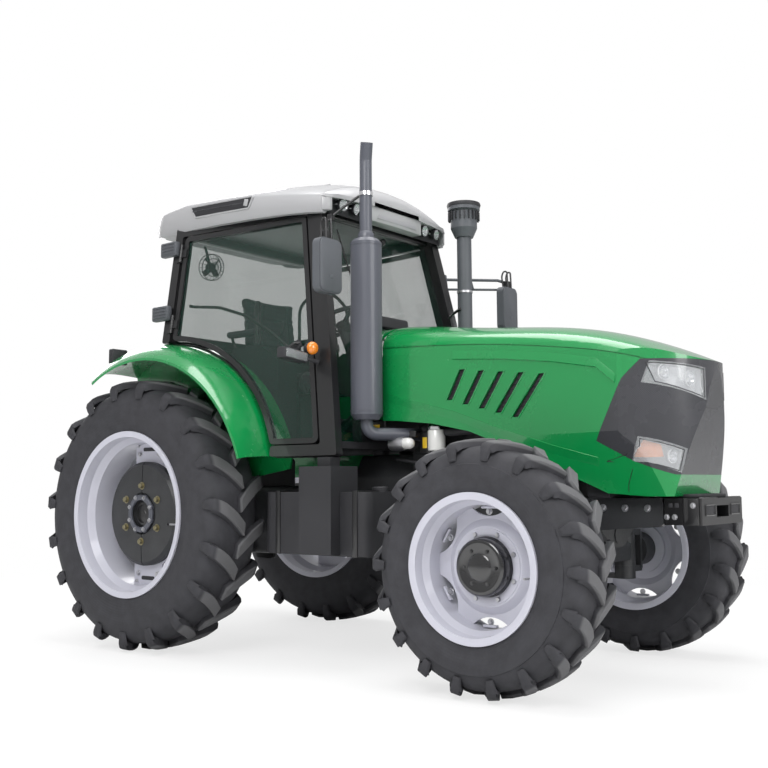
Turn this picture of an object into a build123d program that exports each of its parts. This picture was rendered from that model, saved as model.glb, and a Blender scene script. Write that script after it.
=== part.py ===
from build123d import *
import math
import os

# A four-wheel-drive farm tractor with a closed cab.
# Millimetres: x forward from the rear axle, y to the left, z up from the ground.

# Wheels and axles
WHEELBASE = 2500.0
REAR_TRACK = 1725.0
REAR_TYRE_R = 834.0
REAR_TYRE_W = 429.0
REAR_BEAD_R = 482.6
REAR_RIM_W = 411.0
FRONT_TRACK = 1730.0
FRONT_TYRE_R = 612.5
FRONT_TYRE_W = 345.0
FRONT_BEAD_R = 330.2
FRONT_RIM_W = 335.0
RIM_FLANGE = 25.4
RIM_PLATE = 10.0
DISC_T = 14.0
REAR_DISC_R = 334.0
REAR_EAR_W = 262.0
REAR_HUB_R = 75.0
REAR_HUB_Y = -34.5
WEIGHT_R = 322.0
FRONT_HUB_R = 134.0
FRONT_HUB_Y = -27.5
FRONT_CAP_Y = 84.0
FRONT_LOBES = 6
LOBE_NECK_R = 240.0
KINGPIN_Y = 620.0
RUNNING_GAP = 0.6
SEAT_GAP = 0.3

# Steering
STEER_ARM = 170.0
TIE_ROD_R = 17.0
TIE_ROD_Z = 500.0
CYLINDER_Z = 650.0
CYLINDER_ARM = 150.0
CYLINDER_R = 30.0
ROD_R = 14.0
PIVOT_R = 46.0
PIVOT_RISE = 118.0

# Hood
HOOD_REAR_X = 1512.0
HOOD_HALF_W = 420.0
HOOD_WALL = 14.0
HOOD_PIVOT = (1504.0, 0.0, 1912.0)
HOOD_PIN_R = 8.0
COWL_FRONT_X = 1478.0
NOSE_X = 3325.0
HOOD_LIP_Z = 940.0
LOUVRES = 5
LOUVRE_W = 38.0
SHUT_W = 5.0
SHUT_DEPTH = 6.0

# Cab
FLOOR_Z = 1250.0
FLOOR_T = 40.0
CAB_BASE_HALF_W = 910.0
CAB_TAPER_X = 0.09
CAB_TAPER_Z = 0.15
CAB_TAPER_FROM_Z = 1260.0
PILLAR = 62.0
PILLAR_SET = 4.0
FRONT_PILLAR = 108.0
HINGE_X = 95.0
HINGE_OUT = 9.0
HINGE_HEIGHTS = (2030.0, 2500.0)
HEADER_Z = 2650.0
DOOR_T = 38.0
DOOR_FRAME = 32.0
DOOR_GAP = 9.0
GLASS_T = 6.0
REAR_PILLAR_X = 18.0
REAR_RAIL_Z = 1942.0
ROOF_REAR_X = -290.0
ROOF_FRONT_X = 1305.0
ROOF_HALF_W = 706.0
ROOF_LIP_Z = 2620.0
ROOF_EDGE_Z = 2800.0
ROOF_TOP_Z = 2934.0
LAMP_WALL_X = 1222.0
SEAT_Z = 1600.0
WHEEL_CENTRE = (845.0, 0.0, 2064.0)
WHEEL_LEAN = 0.435

# Fenders
FENDER_IN_Y = 600.0
FENDER_OUT_Y = 1085.0
FENDER_T = 16.0
FENDER_ARC = (46.0, 921.0, 977.0)

# Rear linkage
LOWER_PIN_X = -60.0
LOWER_PIN_Y = 265.0
LOWER_PIN_Z = 560.0
LOWER_LINK_L = 900.0
LOWER_BALL_Y = 412.0
LOWER_EYE_R = 14.35
LOWER_SLOPE = 6.0
ROCKSHAFT = (-150.0, 0.0, 1105.0)
LIFT_ARM_L = 285.0
TOP_PIN = (-335.0, 0.0, 985.0)
TOP_LINK_L = 600.0
TOP_EYE_R = 12.85
TOP_LINK_TILT = 62.0
PTO_R = 17.46
PTO_Z = 640.0
PTO_END_X = -415.0
PTO_STUB_L = 112.0
PTO_INNER_R = 15.0
DRAWBAR_PIN_X = PTO_END_X - 356.0
DRAWBAR_PIN_R = 16.0
DRAWBAR_Z = 400.0
DRAWBAR_T = 32.0

# Driveline
SUPPORT_TOP_Z = 930.0
CASE_FRONT_X = 1185.0
BELL_FRONT_X = 1600.0
HOUSING_Z0 = 560.0
HOUSING_TOP_Z = 1190.0
HOUSING_HALF_W = 215.0
ROCKSHAFT_R = 38.0
TANK_IN_Y = 330.0
TANK_Z0 = 620.0
TANK_TOP_Z = 966.0
STEP_X0 = 925.0
STEP_X1 = 1330.0

# Front weight carrier
CARRIER_X = 3325.0
CARRIER_HALF_W = 290.0
CARRIER_Z0 = 800.0
CARRIER_Z1 = 930.0
CARRIER_PIN_R = 14.0

# Mirrors
MIRROR_ARM_Z = 2395.0

# Worked out from the sizes above
BALL_R = 40.0
REAR_REACH = LOWER_PIN_X - LOWER_LINK_L * math.cos(math.radians(LOWER_SLOPE)) - BALL_R
ORIGIN_X = (CARRIER_X + REAR_REACH) / 2
FRONT_Y = FRONT_TRACK / 2
REAR_Y = REAR_TRACK / 2

NODES = {}


def keep(name, *solids):
    """Put solids under a node's name."""
    NODES.setdefault(name, []).extend(solids)


def mirrored(shape):
    """The same shape on the other side of the tractor."""
    return mirror(shape, about=Plane.XZ)


def both(shape):
    """A shape and its mirror image, fused where they meet."""
    return shape + mirrored(shape)


def rounded(points, radius):
    """A closed outline with rounded corners."""
    return make_face(FilletPolyline(*points, radius=radius, close=True))


def sharp(points):
    """A closed outline with sharp corners."""
    return make_face(Polyline(*points, close=True))


def side_cut(face, y0, y1):
    """A side-view outline in x and z, pulled from y0 to y1."""
    return extrude(Pos(0, y0, 0) * (Plane.XZ * face), amount=y1 - y0, dir=(0, 1, 0))


def front_cut(face, x0, x1):
    """A front-view outline in y and z, pulled from x0 to x1."""
    return extrude(Pos(x0, 0, 0) * (Plane.YZ * face), amount=x1 - x0, dir=(1, 0, 0))


def plan_cut(face, z0, z1):
    """A top-view outline in x and y, pulled from z0 to z1."""
    return extrude(Pos(0, 0, z0) * face, amount=z1 - z0, dir=(0, 0, 1))


def rod(start, end, radius):
    """A round bar between two points."""
    path = Line(start, end)
    return sweep(Plane(start, z_dir=path % 0) * Circle(radius), path=path)


def bent_rod(points, radius, bend):
    """A round bar along a route with rounded bends."""
    path = FilletPolyline(*points, radius=bend)
    return sweep(Plane(path @ 0, z_dir=path % 0) * Circle(radius), path=path)


def bent_tube(points, radius, bore, bend):
    """A hollow round tube along a route with rounded bends."""
    path = FilletPolyline(*points, radius=bend)
    section = Plane(path @ 0, z_dir=path % 0) * (Circle(radius) - Circle(bore))
    return sweep(section, path=path)


def square_tube(start, end, width, depth, x_dir):
    """A square bar between two points."""
    path = Line(start, end)
    section = Plane(start, x_dir=x_dir, z_dir=path % 0) * RectangleRounded(width, depth, width / 6)
    return sweep(section, path=path)


def turned_y(profile, x, y, z):
    """A turned piece on an axis along y: the profile lists radius and offset along y."""
    return Pos(x, y, z) * revolve(sharp(profile), axis=Axis.Y)


def turned_z(profile, x, y, z):
    """A turned piece on an upright axis: the profile lists radius and height."""
    return Pos(x, y, z) * revolve(Plane.XZ * sharp(profile), axis=Axis.Z)


def turned_x(profile, x, y, z):
    """A turned piece on an axis along x: the profile lists offset along x and radius."""
    return Pos(x, y, z) * revolve(sharp(profile), axis=Axis.X)


def drum_y(radius, y0, y1, x, z, bore=0.0):
    """A cylinder along y from y0 to y1."""
    drum = Cylinder(radius, y1 - y0, rotation=(90, 0, 0))
    if bore:
        drum -= Cylinder(bore, y1 - y0 + 2, rotation=(90, 0, 0))
    return Pos(x, (y0 + y1) / 2, z) * drum


def drum_z(radius, z0, z1, x, y, bore=0.0):
    """An upright cylinder from z0 to z1."""
    drum = Cylinder(radius, z1 - z0)
    if bore:
        drum -= Cylinder(bore, z1 - z0 + 2)
    return Pos(x, y, (z0 + z1) / 2) * drum


# Wheels

def tyre(radius, width, bead_r, rim_w):
    """A hollow tyre on an axis along y, centred on the origin."""
    half = width / 2
    tread = half * 0.93
    wall = width * 0.055
    bead_y = rim_w / 2 - 16
    seat = bead_r + SEAT_GAP
    outer = [
        (seat, -bead_y), (seat + RIM_FLANGE + 12, -bead_y),
        (seat + (radius - bead_r) * 0.45, -half), (radius - width * 0.12, -half * 0.985),
        (radius, -tread),
    ]
    inner = [
        (seat, -bead_y + 22), (seat + RIM_FLANGE + 12, -bead_y + wall),
        (seat + (radius - bead_r) * 0.45, -half + wall), (radius - width * 0.19, -half * 0.96 + wall),
        (radius - width * 0.2, -tread + wall * 2),
    ]
    outline = outer + [(r, -y) for r, y in reversed(outer)]
    outline += inner_to_outer([(r, -y) for r, y in inner], inner)
    return revolve(sharp(outline), axis=Axis.Y)


def inner_to_outer(first, last):
    """The inside of the carcass, from one bead across the crown to the other."""
    return first + list(reversed(last))


def rim(bead_r, rim_w, drop):
    """A drop-centre rim on an axis along y, outboard towards +y."""
    half = rim_w / 2
    flange_r = bead_r + RIM_FLANGE
    step = 14.0
    well = (half * 0.42, -half * 0.38)
    outer = [
        (flange_r, half), (flange_r, half - step), (bead_r, half - step), (bead_r - 4, half * 0.62),
        (bead_r - drop, well[0]), (bead_r - drop, well[1]), (bead_r - 4, -half * 0.6),
        (bead_r, -half + step), (flange_r, -half + step), (flange_r, -half),
    ]
    inner = [
        (flange_r - RIM_PLATE, -half), (bead_r - RIM_PLATE, -half + step - RIM_PLATE),
        (bead_r - RIM_PLATE - 4, -half * 0.6 - 6), (bead_r - drop - RIM_PLATE, well[1] - 6),
        (bead_r - drop - RIM_PLATE, well[0] + 6), (bead_r - RIM_PLATE - 4, half * 0.62 + 6),
        (bead_r - RIM_PLATE, half - step + RIM_PLATE), (flange_r - RIM_PLATE, half),
    ]
    return revolve(sharp(outer + inner), axis=Axis.Y)


def rear_wheel():
    """The left rear wheel: tyre, rim and two half weights, centred on its axle."""
    drop = 32.0
    body = tyre(REAR_TYRE_R, REAR_TYRE_W, REAR_BEAD_R, REAR_RIM_W)
    reach = REAR_BEAD_R - drop - RIM_PLATE + 2
    disc = turned_y([(0, 0), (reach, 0), (reach, DISC_T), (0, DISC_T)], 0, 0, 0)
    ears = Pos(0, DISC_T / 2, 0) * Box(REAR_EAR_W, DISC_T, 2 * reach)
    disc &= ears + drum_y(REAR_DISC_R, 0, DISC_T, 0, 0)
    hub = turned_y([(0, REAR_HUB_Y), (150, REAR_HUB_Y), (150, 1), (REAR_HUB_R, 1), (REAR_HUB_R, DISC_T + 40),
                    (58, DISC_T + 44), (50, DISC_T + 26), (0, DISC_T + 26)], 0, 0, 0)
    low = DISC_T + SEAT_GAP
    bore = REAR_HUB_R + 10
    weight = turned_y([(bore, low), (WEIGHT_R, low), (WEIGHT_R, low + 34), (WEIGHT_R - 22, low + 54),
                       (205, low + 58),
                       (130, low + 58), (112, low + 44), (bore, low + 44)], 0, 0, 0)
    weight -= Box(6, 400, 2 * WEIGHT_R + 10)
    return body, [rim(REAR_BEAD_R, REAR_RIM_W, drop) + disc + hub], list(weight.solids())


def front_wheel():
    """The left front wheel: tyre and rim with its lobed disc and hub, centred on its axle."""
    drop = 26.0
    body = tyre(FRONT_TYRE_R, FRONT_TYRE_W, FRONT_BEAD_R, FRONT_RIM_W)
    reach = FRONT_BEAD_R - drop - RIM_PLATE + 2
    disc = turned_y([(FRONT_HUB_R - 5, 0), (186, 0), (222, -24), (reach, -24), (reach, DISC_T - 24),
                     (228, DISC_T - 24), (192, DISC_T), (FRONT_HUB_R - 5, DISC_T)], 0, 0, 0)
    for index in range(FRONT_LOBES):
        between = Rot(0, 360 / FRONT_LOBES * (index + 0.5), 0)
        disc -= between * Pos(LOBE_NECK_R + 150, 0, 0) * Cylinder(150, 90, rotation=(90, 0, 0))
    hub = turned_y([(0, FRONT_HUB_Y), (150, FRONT_HUB_Y), (150, 1), (FRONT_HUB_R, 1),
                    (FRONT_HUB_R, FRONT_CAP_Y - 8),
                    (FRONT_HUB_R - 8, FRONT_CAP_Y), (0, FRONT_CAP_Y)], 0, 0, 0)
    return body, [rim(FRONT_BEAD_R, FRONT_RIM_W, drop) + disc + hub]


def wheels():
    """All four wheels at their places."""
    rear_tyre, rear_rim, weights = rear_wheel()
    front_tyre, front_rim = front_wheel()
    rear = Pos(0, REAR_Y, REAR_TYRE_R)
    front = Pos(WHEELBASE, FRONT_Y, FRONT_TYRE_R)
    for side, place in (("left", lambda shape: shape), ("right", mirrored)):
        keep("rear_tyre_" + side, place(rear * rear_tyre))
        keep("rear_rim_" + side, *[place(rear * piece) for piece in rear_rim])
        keep("wheel_weight_" + side, *[place(rear * piece) for piece in weights])
        keep("front_tyre_" + side, place(front * front_tyre))
        keep("front_rim_" + side, *[place(front * piece) for piece in front_rim])


# Front axle and steering

def front_axle():
    """The driven beam with its centre housing and the kingpin bosses."""
    z = FRONT_TYRE_R
    beam = front_cut(rounded([(-KINGPIN_Y + 40, z - 52), (KINGPIN_Y - 40, z - 52), (KINGPIN_Y - 40, z + 48),
                              (150, z + 66), (-150, z + 66), (-KINGPIN_Y + 40, z + 48)], 18),
                     WHEELBASE - 62, WHEELBASE + 62)
    housing = turned_x([(-185, 0), (-185, 48), (-130, 50), (-80, 128), (60, 128), (105, 95), (112, 0)],
                       WHEELBASE, 0, z)
    pivot = turned_x([(-195, 0), (-195, PIVOT_R), (265, PIVOT_R), (265, 0)], WHEELBASE, 0, z + PIVOT_RISE)
    web = front_cut(sharp([(-60, z + 40), (60, z + 40), (46, z + PIVOT_RISE), (-46, z + PIVOT_RISE)]),
                    WHEELBASE - 110, WHEELBASE + 110)
    ends = Part()
    for side in (-1, 1):
        ends += drum_z(62, z - 88, z + 88, WHEELBASE, side * KINGPIN_Y)
    bracket = plan_cut(rounded([(WHEELBASE + 40, -70), (WHEELBASE + 190, -60), (WHEELBASE + 190, 60),
                                (WHEELBASE + 40, 70)], 20), CYLINDER_Z - 44, CYLINDER_Z - 22)
    pin = drum_z(12, CYLINDER_Z - 30, CYLINDER_Z + 20, WHEELBASE + CYLINDER_ARM, 0)
    keep("front_axle_beam", beam + housing + pivot + web + ends + bracket + pin)


def knuckle():
    """The left swivel housing with its arms, in place."""
    z = FRONT_TYRE_R
    top = z + 88 + RUNNING_GAP
    low = z - 88 - RUNNING_GAP
    caps = drum_z(60, top, top + 34, WHEELBASE, KINGPIN_Y) + drum_z(60, low - 34, low, WHEELBASE, KINGPIN_Y)
    web = side_cut(rounded([(WHEELBASE - 70, low - 34), (WHEELBASE + 70, low - 34),
                            (WHEELBASE + 70, top + 34),
                            (WHEELBASE - 70, top + 34)], 24), KINGPIN_Y + 66, KINGPIN_Y + 92)
    ears = plan_cut(rounded([(WHEELBASE - 60, KINGPIN_Y), (WHEELBASE + 60, KINGPIN_Y),
                             (WHEELBASE + 70, KINGPIN_Y + 92), (WHEELBASE - 70, KINGPIN_Y + 92)], 12),
                    top, top + 34)
    ears += Pos(0, 0, low - 34 - top) * ears
    inner_end = FRONT_Y + FRONT_HUB_Y - RUNNING_GAP
    spindle = drum_y(98, KINGPIN_Y + 90, inner_end, WHEELBASE, z)
    arm_back = plan_cut(rounded([(WHEELBASE + 30, KINGPIN_Y - 45), (WHEELBASE + 30, KINGPIN_Y + 60),
                                 (WHEELBASE - STEER_ARM - 34, KINGPIN_Y + 34),
                                 (WHEELBASE - STEER_ARM - 34,
                                  KINGPIN_Y - 34)], 24), TIE_ROD_Z - 52, TIE_ROD_Z - 26)
    arm_back += drum_z(60, TIE_ROD_Z - 52, low, WHEELBASE, KINGPIN_Y)
    arm_back -= drum_z(11, TIE_ROD_Z - 60, TIE_ROD_Z, WHEELBASE - STEER_ARM, KINGPIN_Y)
    return caps + web + ears + spindle + arm_back


def steering_links():
    """Knuckles, tie rod and the steering cylinder with its rod."""
    left = knuckle()
    eye_half = 20.0
    arm = plan_cut(rounded([(WHEELBASE + 60, -KINGPIN_Y - 92), (WHEELBASE + 60, -KINGPIN_Y - 68),
                            (WHEELBASE + CYLINDER_ARM - 34, -KINGPIN_Y + 30),
                            (WHEELBASE + CYLINDER_ARM + 34, -KINGPIN_Y + 30),
                            (WHEELBASE + CYLINDER_ARM + 34, -KINGPIN_Y - 30),
                            (WHEELBASE + CYLINDER_ARM - 30, -KINGPIN_Y - 92)], 10),
                   CYLINDER_Z - eye_half - RUNNING_GAP - 22, CYLINDER_Z - eye_half - RUNNING_GAP)
    keep("knuckle_left", left)
    keep("knuckle_right", mirrored(left) + arm)

    eye_x = WHEELBASE - STEER_ARM
    bar = drum_y(TIE_ROD_R, -KINGPIN_Y + 20, KINGPIN_Y - 20, eye_x, TIE_ROD_Z)
    for side in (-1, 1):
        bar += drum_z(27, TIE_ROD_Z - 25, TIE_ROD_Z + 22, eye_x, side * KINGPIN_Y)
        bar += drum_z(10.95, TIE_ROD_Z - 60, TIE_ROD_Z, eye_x, side * KINGPIN_Y)
    keep("tie_rod", bar)

    pin_x = WHEELBASE + CYLINDER_ARM
    barrel = drum_y(CYLINDER_R, -375, -64, pin_x, CYLINDER_Z)
    barrel += drum_y(20, -70, -14, pin_x, CYLINDER_Z) + drum_z(26, CYLINDER_Z - 14, CYLINDER_Z + 14, pin_x, 0)
    barrel -= drum_z(12.05, CYLINDER_Z - 30, CYLINDER_Z + 30, pin_x, 0)
    barrel -= drum_y(ROD_R + 0.05, -380, -80, pin_x, CYLINDER_Z)
    keep("steering_cylinder", barrel)
    ram = drum_y(ROD_R, -KINGPIN_Y + 20, -190, pin_x, CYLINDER_Z)
    ram += drum_z(28, CYLINDER_Z - eye_half, CYLINDER_Z + eye_half, pin_x, -KINGPIN_Y)
    keep("steering_rod", ram)


# Chassis

def chassis():
    """Front support, engine, gearbox, rear axle and shafts."""
    z = FRONT_TYRE_R
    cheek = side_cut(rounded([(2080, 800), (2300, 760), (2700, 760), (2880, 775), (3120, 790),
                              (3120, SUPPORT_TOP_Z),
                              (2080, SUPPORT_TOP_Z)], 26), 215, 250)
    floor = plan_cut(rounded([(2080, -250), (3120, -250), (3120, 250), (2080, 250)], 20), SUPPORT_TOP_Z - 30,
                     SUPPORT_TOP_Z)
    bearings = Part()
    for x in (WHEELBASE - 170, WHEELBASE + 238):
        block = front_cut(rounded([(-250, z + 190), (-66, z + 56), (66, z + 56), (250, z + 190),
                                   (250, SUPPORT_TOP_Z), (-250, SUPPORT_TOP_Z)], 16), x - 22, x + 22)
        bearings += block - turned_x([(-60, 0), (-60, PIVOT_R + 0.05), (60, PIVOT_R + 0.05), (60, 0)],
                                     x, 0, z + PIVOT_RISE)
    keep("front_support", both(cheek) + floor + bearings)

    base = SUPPORT_TOP_Z + SEAT_GAP
    sump = front_cut(rounded([(-150, 700), (150, 700), (175, 760), (175, 960), (-175, 960), (-175, 760)], 20),
                     1640, 2070)
    block = front_cut(rounded([(-200, base), (200, base), (255, base + 50), (255, 1180), (190, 1240),
                               (190, 1400),
                               (-190, 1400), (-190, 1240), (-255, 1180), (-255,
                                                                          base + 50)], 26), BELL_FRONT_X, 2560)
    keep("engine_block", sump + block)

    core = front_cut(rounded([(-300, base), (300, base), (300, 1480), (-300, 1480)], 24), 2740, 2860)
    keep("radiator", core)

    bell = front_cut(rounded([(-230, 680), (230, 680), (280, 800), (280, 1050), (200, 1180), (-200, 1180),
                              (-280, 1050), (-280, 800)], 40), CASE_FRONT_X - 5, BELL_FRONT_X - SEAT_GAP)
    case = front_cut(rounded([(-170, HOUSING_Z0), (170, HOUSING_Z0), (210, 700), (210, 1000), (-210, 1000),
                              (-210, 700)], 30), 230, CASE_FRONT_X)
    gearbox = bell + case
    for x in (CASE_FRONT_X + 60, BELL_FRONT_X - 140):
        gearbox += both(Pos(x, 300, 820) * Box(50, 2 * (TANK_IN_Y - SEAT_GAP - 300), 50))
    keep("transmission_case", gearbox)

    centre = side_cut(rounded([(-300, HOUSING_Z0), (230 - SEAT_GAP, HOUSING_Z0),
                               (230 - SEAT_GAP, HOUSING_TOP_Z),
                               (-230, HOUSING_TOP_Z), (-300, 1090)], 30), -HOUSING_HALF_W, HOUSING_HALF_W)
    centre -= drum_y(ROCKSHAFT_R + 0.05, -HOUSING_HALF_W - 5, HOUSING_HALF_W + 5, ROCKSHAFT[0], ROCKSHAFT[2])
    trumpet = turned_y([(0, 200), (175, 200), (150, 300), (110, 420), (118, 470), (185, 500), (185, 540),
                        (0, 540)],
                       0, 0, REAR_TYRE_R)
    hub_face = REAR_Y + REAR_HUB_Y - RUNNING_GAP
    shaft = drum_y(62, 540, hub_face, 0, REAR_TYRE_R)
    housing = centre + both(trumpet + shaft)
    bore = PTO_INNER_R + 0.05
    housing -= turned_x([(0, 0), (0, bore), (130, bore), (130, 0)], -301, 0, PTO_Z)
    keep("rear_axle_housing", housing)

    length = WHEELBASE - 185 - CASE_FRONT_X - 2 * SEAT_GAP
    cover = turned_x([(0, 0), (0, 45), (length, 45), (length, 0)], CASE_FRONT_X + SEAT_GAP, 0, z)
    keep("drive_shaft", cover)


def front_hitch():
    """The weight carrier with its tow plate."""
    bar = plan_cut(rounded([(3232, -CARRIER_HALF_W), (CARRIER_X, -CARRIER_HALF_W + 12),
                            (CARRIER_X, CARRIER_HALF_W - 12), (3232,
                                                               CARRIER_HALF_W)], 10), CARRIER_Z0, CARRIER_Z1)
    arm = plan_cut(rounded([(3120 + SEAT_GAP, 170), (3120 + SEAT_GAP, 250), (3240, 250), (3240, 170)], 12),
                   CARRIER_Z0, CARRIER_Z1)
    plate = plan_cut(rounded([(3120 + SEAT_GAP, -180), (3240, -180), (3240, 180), (3120 + SEAT_GAP, 180)], 8),
                     CARRIER_Z0 + 40, CARRIER_Z0 + 70)
    tow = bar + both(arm) + plate
    slot = Pos(CARRIER_X, 0, (CARRIER_Z0 + CARRIER_Z1) / 2) * Box(150, 160, 56)
    tow -= slot
    tow -= drum_z(CARRIER_PIN_R, CARRIER_Z0 - 5, CARRIER_Z1 + 5, CARRIER_X - 45, 0)
    keep("front_hitch", tow)


# Hood

def hood_section(x, half_w, low_half_w, shoulder_z, top_z, inset):
    """The left half of one cross-section of the hood, pulled in by the inset."""
    w = half_w - inset
    low = low_half_w - inset
    shoulder = shoulder_z - inset * 0.5
    top = top_z - inset
    side = Polyline((0, top), (0, 700), (low, 700), (low, HOOD_LIP_Z - 20), (w, HOOD_LIP_Z + 320),
                    (w, shoulder))
    crown = Spline((w, shoulder), (w * 0.76, shoulder + (top - shoulder) * 0.72), (0, top),
                   tangents=[(-0.15, 1), (-1, 0)])
    return Pos(x, 0, 0) * (Plane.YZ * make_face(side + crown))


def hood_form(inset):
    """The left half of the hood's form, pulled in by the inset and then open below."""
    stations = [
        (HOOD_REAR_X - 60, 420, 420, 1790, 1945), (1950, 420, 420, 1772, 1905), (2400, 420, 415, 1738, 1862),
        (2850, 415, 350, 1672, 1790), (3120, 400, 320, 1610, 1700), (NOSE_X + 60, 380, 300, 1545, 1585),
    ]
    body = loft([hood_section(x, w, low, shoulder, top, inset) for x, w, low, shoulder, top in stations])
    nose = NOSE_X - inset
    rear = HOOD_REAR_X - 2 * inset
    half = HOOD_HALF_W + 40
    front_y = 402 - inset
    plan = make_face(
        Polyline((nose - 330, front_y), (nose - 520, half), (rear, half), (rear, -half), (nose - 520, -half),
                 (nose - 330, -front_y))
        + ThreePointArc((nose - 330, -front_y), (nose, 0), (nose - 330, front_y))
    )
    face = [(nose - 125, HOOD_LIP_Z), (nose - 20, HOOD_LIP_Z + 430), (nose, HOOD_LIP_Z + 630),
            (nose + 100, 2100)]
    if inset:
        below = HOOD_LIP_Z - 200
        side = sharp([(1300, below), (nose - 125, below)] + face + [(1300, 2100)])
    else:
        side = make_face(
            Polyline((2100, 1290), (1857, 1341), (1600, 1368), (1300, 1378), (1300, 2100), *reversed(face),
                     (3080, HOOD_LIP_Z), (2880, HOOD_LIP_Z + 15))
            + ThreePointArc((2880, HOOD_LIP_Z + 15), (2500, 1130), (2100, 1290))
        )
    return body & (plan_cut(plan, 600, 2100) & side_cut(side, -600, 600))


def louvres():
    """Cutters for the slanted slots in the hood's left side."""
    cutters = Part()
    for index in range(LOUVRES):
        share = index / (LOUVRES - 1)
        top_x = 2082 + 494 * share
        top_z = 1629 - 56 * share
        low_x = 1994 + 416 * share
        low_z = 1465 - 112 * share
        cutters += side_cut(rounded([(top_x, top_z), (low_x, low_z), (low_x - LOUVRE_W, low_z),
                                     (top_x - LOUVRE_W, top_z)], 5), 380, 460)
    return cutters


def shut_line():
    """A thin curved band in the side view, where the hood's top meets its side."""
    points = [(1529, 1792), (1918, 1776), (2308, 1747), (2666, 1703), (2991, 1645), (3120, 1608)]
    upper = Spline(points)
    lower = Spline([(x, z - SHUT_W) for x, z in points])
    ends = Line(points[0], (points[0][0], points[0][1] - SHUT_W))
    ends += Line(points[-1], (points[-1][0], points[-1][1] - SHUT_W))
    return side_cut(make_face(upper + lower + ends), 300, 500)


def hood():
    """The one-piece tilting hood with its grille and lamp pods."""
    shell = hood_form(0) - hood_form(HOOD_WALL)
    mouth = sharp([(2850, 1215), (2990, 1520), (3080, 1612), (3500, 1612), (3500, 1045), (3208, 1045),
                   (3030, 1112)])
    front = shell & side_cut(mouth, -600, 600)
    skin = shell - side_cut(offset(mouth, SEAT_GAP, kind=Kind.INTERSECTION), -600, 600)
    skin -= louvres()
    skin -= shut_line() & (hood_form(0) - hood_form(SHUT_DEPTH))
    x, _, z = HOOD_PIVOT
    lug = side_cut(rounded([(x - 14, z - 14), (x + 14, z - 14), (x + 76, z + 20), (x + 66, z + 26),
                            (x + 14, z + 26), (x - 10, z + 12)], 4), 62, 92)
    lug -= drum_y(HOOD_PIN_R + 0.05, 50, 100, x, z)
    keep("hood_shell", both(skin + lug))

    upper_zone = side_cut(sharp([(3045, 1400), (3131, 1642), (3500, 1642), (3500, 1400)]), 100, 600)
    upper_zone &= front_cut(sharp([(120, 1410), (376, 1496), (520, 1544), (520, 1625), (356, 1603),
                                   (120, 1572)]),
                            2900, 3500)
    lower_zone = side_cut(sharp([(3000, 1037), (3094, 1345), (3500, 1345), (3500, 1037)]), 200, 600)
    lower_zone &= front_cut(sharp([(264, 1051), (235, 1170), (383, 1233), (520, 1291), (520, 1190)]), 2900,
                            3500)
    lamps = [front & upper_zone, front & lower_zone]
    keep("grille", both(front - upper_zone - lower_zone))
    keep("headlights", *lamps, *[mirrored(lamp) for lamp in lamps])

    ear = side_cut(rounded([(COWL_FRONT_X - 20, z - 30), (x + 11, z - 14), (x + 11, z + 8),
                            (COWL_FRONT_X - 20, z + 20)], 7), 92 + RUNNING_GAP, 104)
    ear += drum_y(HOOD_PIN_R, 58, 100, x, z)
    section = [420, 420, 1790, 1945]
    hump = hood_section(0, *section, 0) - hood_section(0, *section, HOOD_WALL)
    hump = extrude(Pos(1325 + SEAT_GAP, 0, 0) * hump, amount=COWL_FRONT_X - 1325, dir=(1, 0, 0))
    hump &= Pos(1400, 0, 1800) * Box(400, 1000, 830)
    back = front_cut(rounded([(-410, 1390), (410, 1390), (410, 1760), (-410, 1760)], 20), 1350, 1360)
    keep("cowl", both(hump + ear) + back)


# Cab

def cab_y(x, z):
    """Half width of the cab's outside at a place."""
    return CAB_BASE_HALF_W - CAB_TAPER_X * x - CAB_TAPER_Z * (z - CAB_TAPER_FROM_Z)


def corner(x, z, inward=0.0):
    """A point on the cab's left side."""
    return (x, cab_y(x, z) - inward, z)


SIDE_PLANE = Plane(
    origin=(0, CAB_BASE_HALF_W, CAB_TAPER_FROM_Z),
    x_dir=(1, -CAB_TAPER_X, 0),
    z_dir=(CAB_TAPER_X, 1, CAB_TAPER_Z),
)


def on_side(points):
    """Side-view points in x and z as flat points on the leaning side plane."""
    flat = []
    for x, z in points:
        local = SIDE_PLANE.to_local_coords(Vector(*corner(x, z)))
        flat.append((local.X, local.Y))
    return flat


def front_pillar_x(z):
    """Where the front pillar's front edge is at a height."""
    return 1458 - (z - 1250) * 0.19


def pillar_inner(x, z):
    """Half width between the side frames at a place."""
    slope = math.sqrt(1 + CAB_TAPER_X**2 + CAB_TAPER_Z**2)
    return cab_y(x, z) - (PILLAR_SET + PILLAR + SEAT_GAP) * slope


def door_outline():
    """The left door's outline on the side plane: its lower edge follows the fender."""
    top = HEADER_Z - PILLAR / 2 - DOOR_GAP
    low = 1238.0
    radius = FENDER_ARC[2] + DOOR_GAP + 18
    rear_x = REAR_PILLAR_X + PILLAR + 30
    rear_z = FENDER_ARC[1] + math.sqrt(radius**2 - (rear_x - FENDER_ARC[0])**2)
    front_x = FENDER_ARC[0] + math.sqrt(radius**2 - (low - FENDER_ARC[1])**2)
    middle = math.radians(52)
    arc_middle = (FENDER_ARC[0] + radius * math.cos(middle), FENDER_ARC[1] + radius * math.sin(middle))
    edge = FRONT_PILLAR + DOOR_GAP
    flat = on_side([(rear_x, rear_z), arc_middle, (front_x, low), (front_pillar_x(low) - edge, low),
                    (front_pillar_x(top) - edge, top), (rear_x, top)])
    shape = make_face(ThreePointArc(*flat[:3]) + Polyline(*flat[2:], flat[0]))
    return fillet(shape.vertices(), 34)


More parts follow.
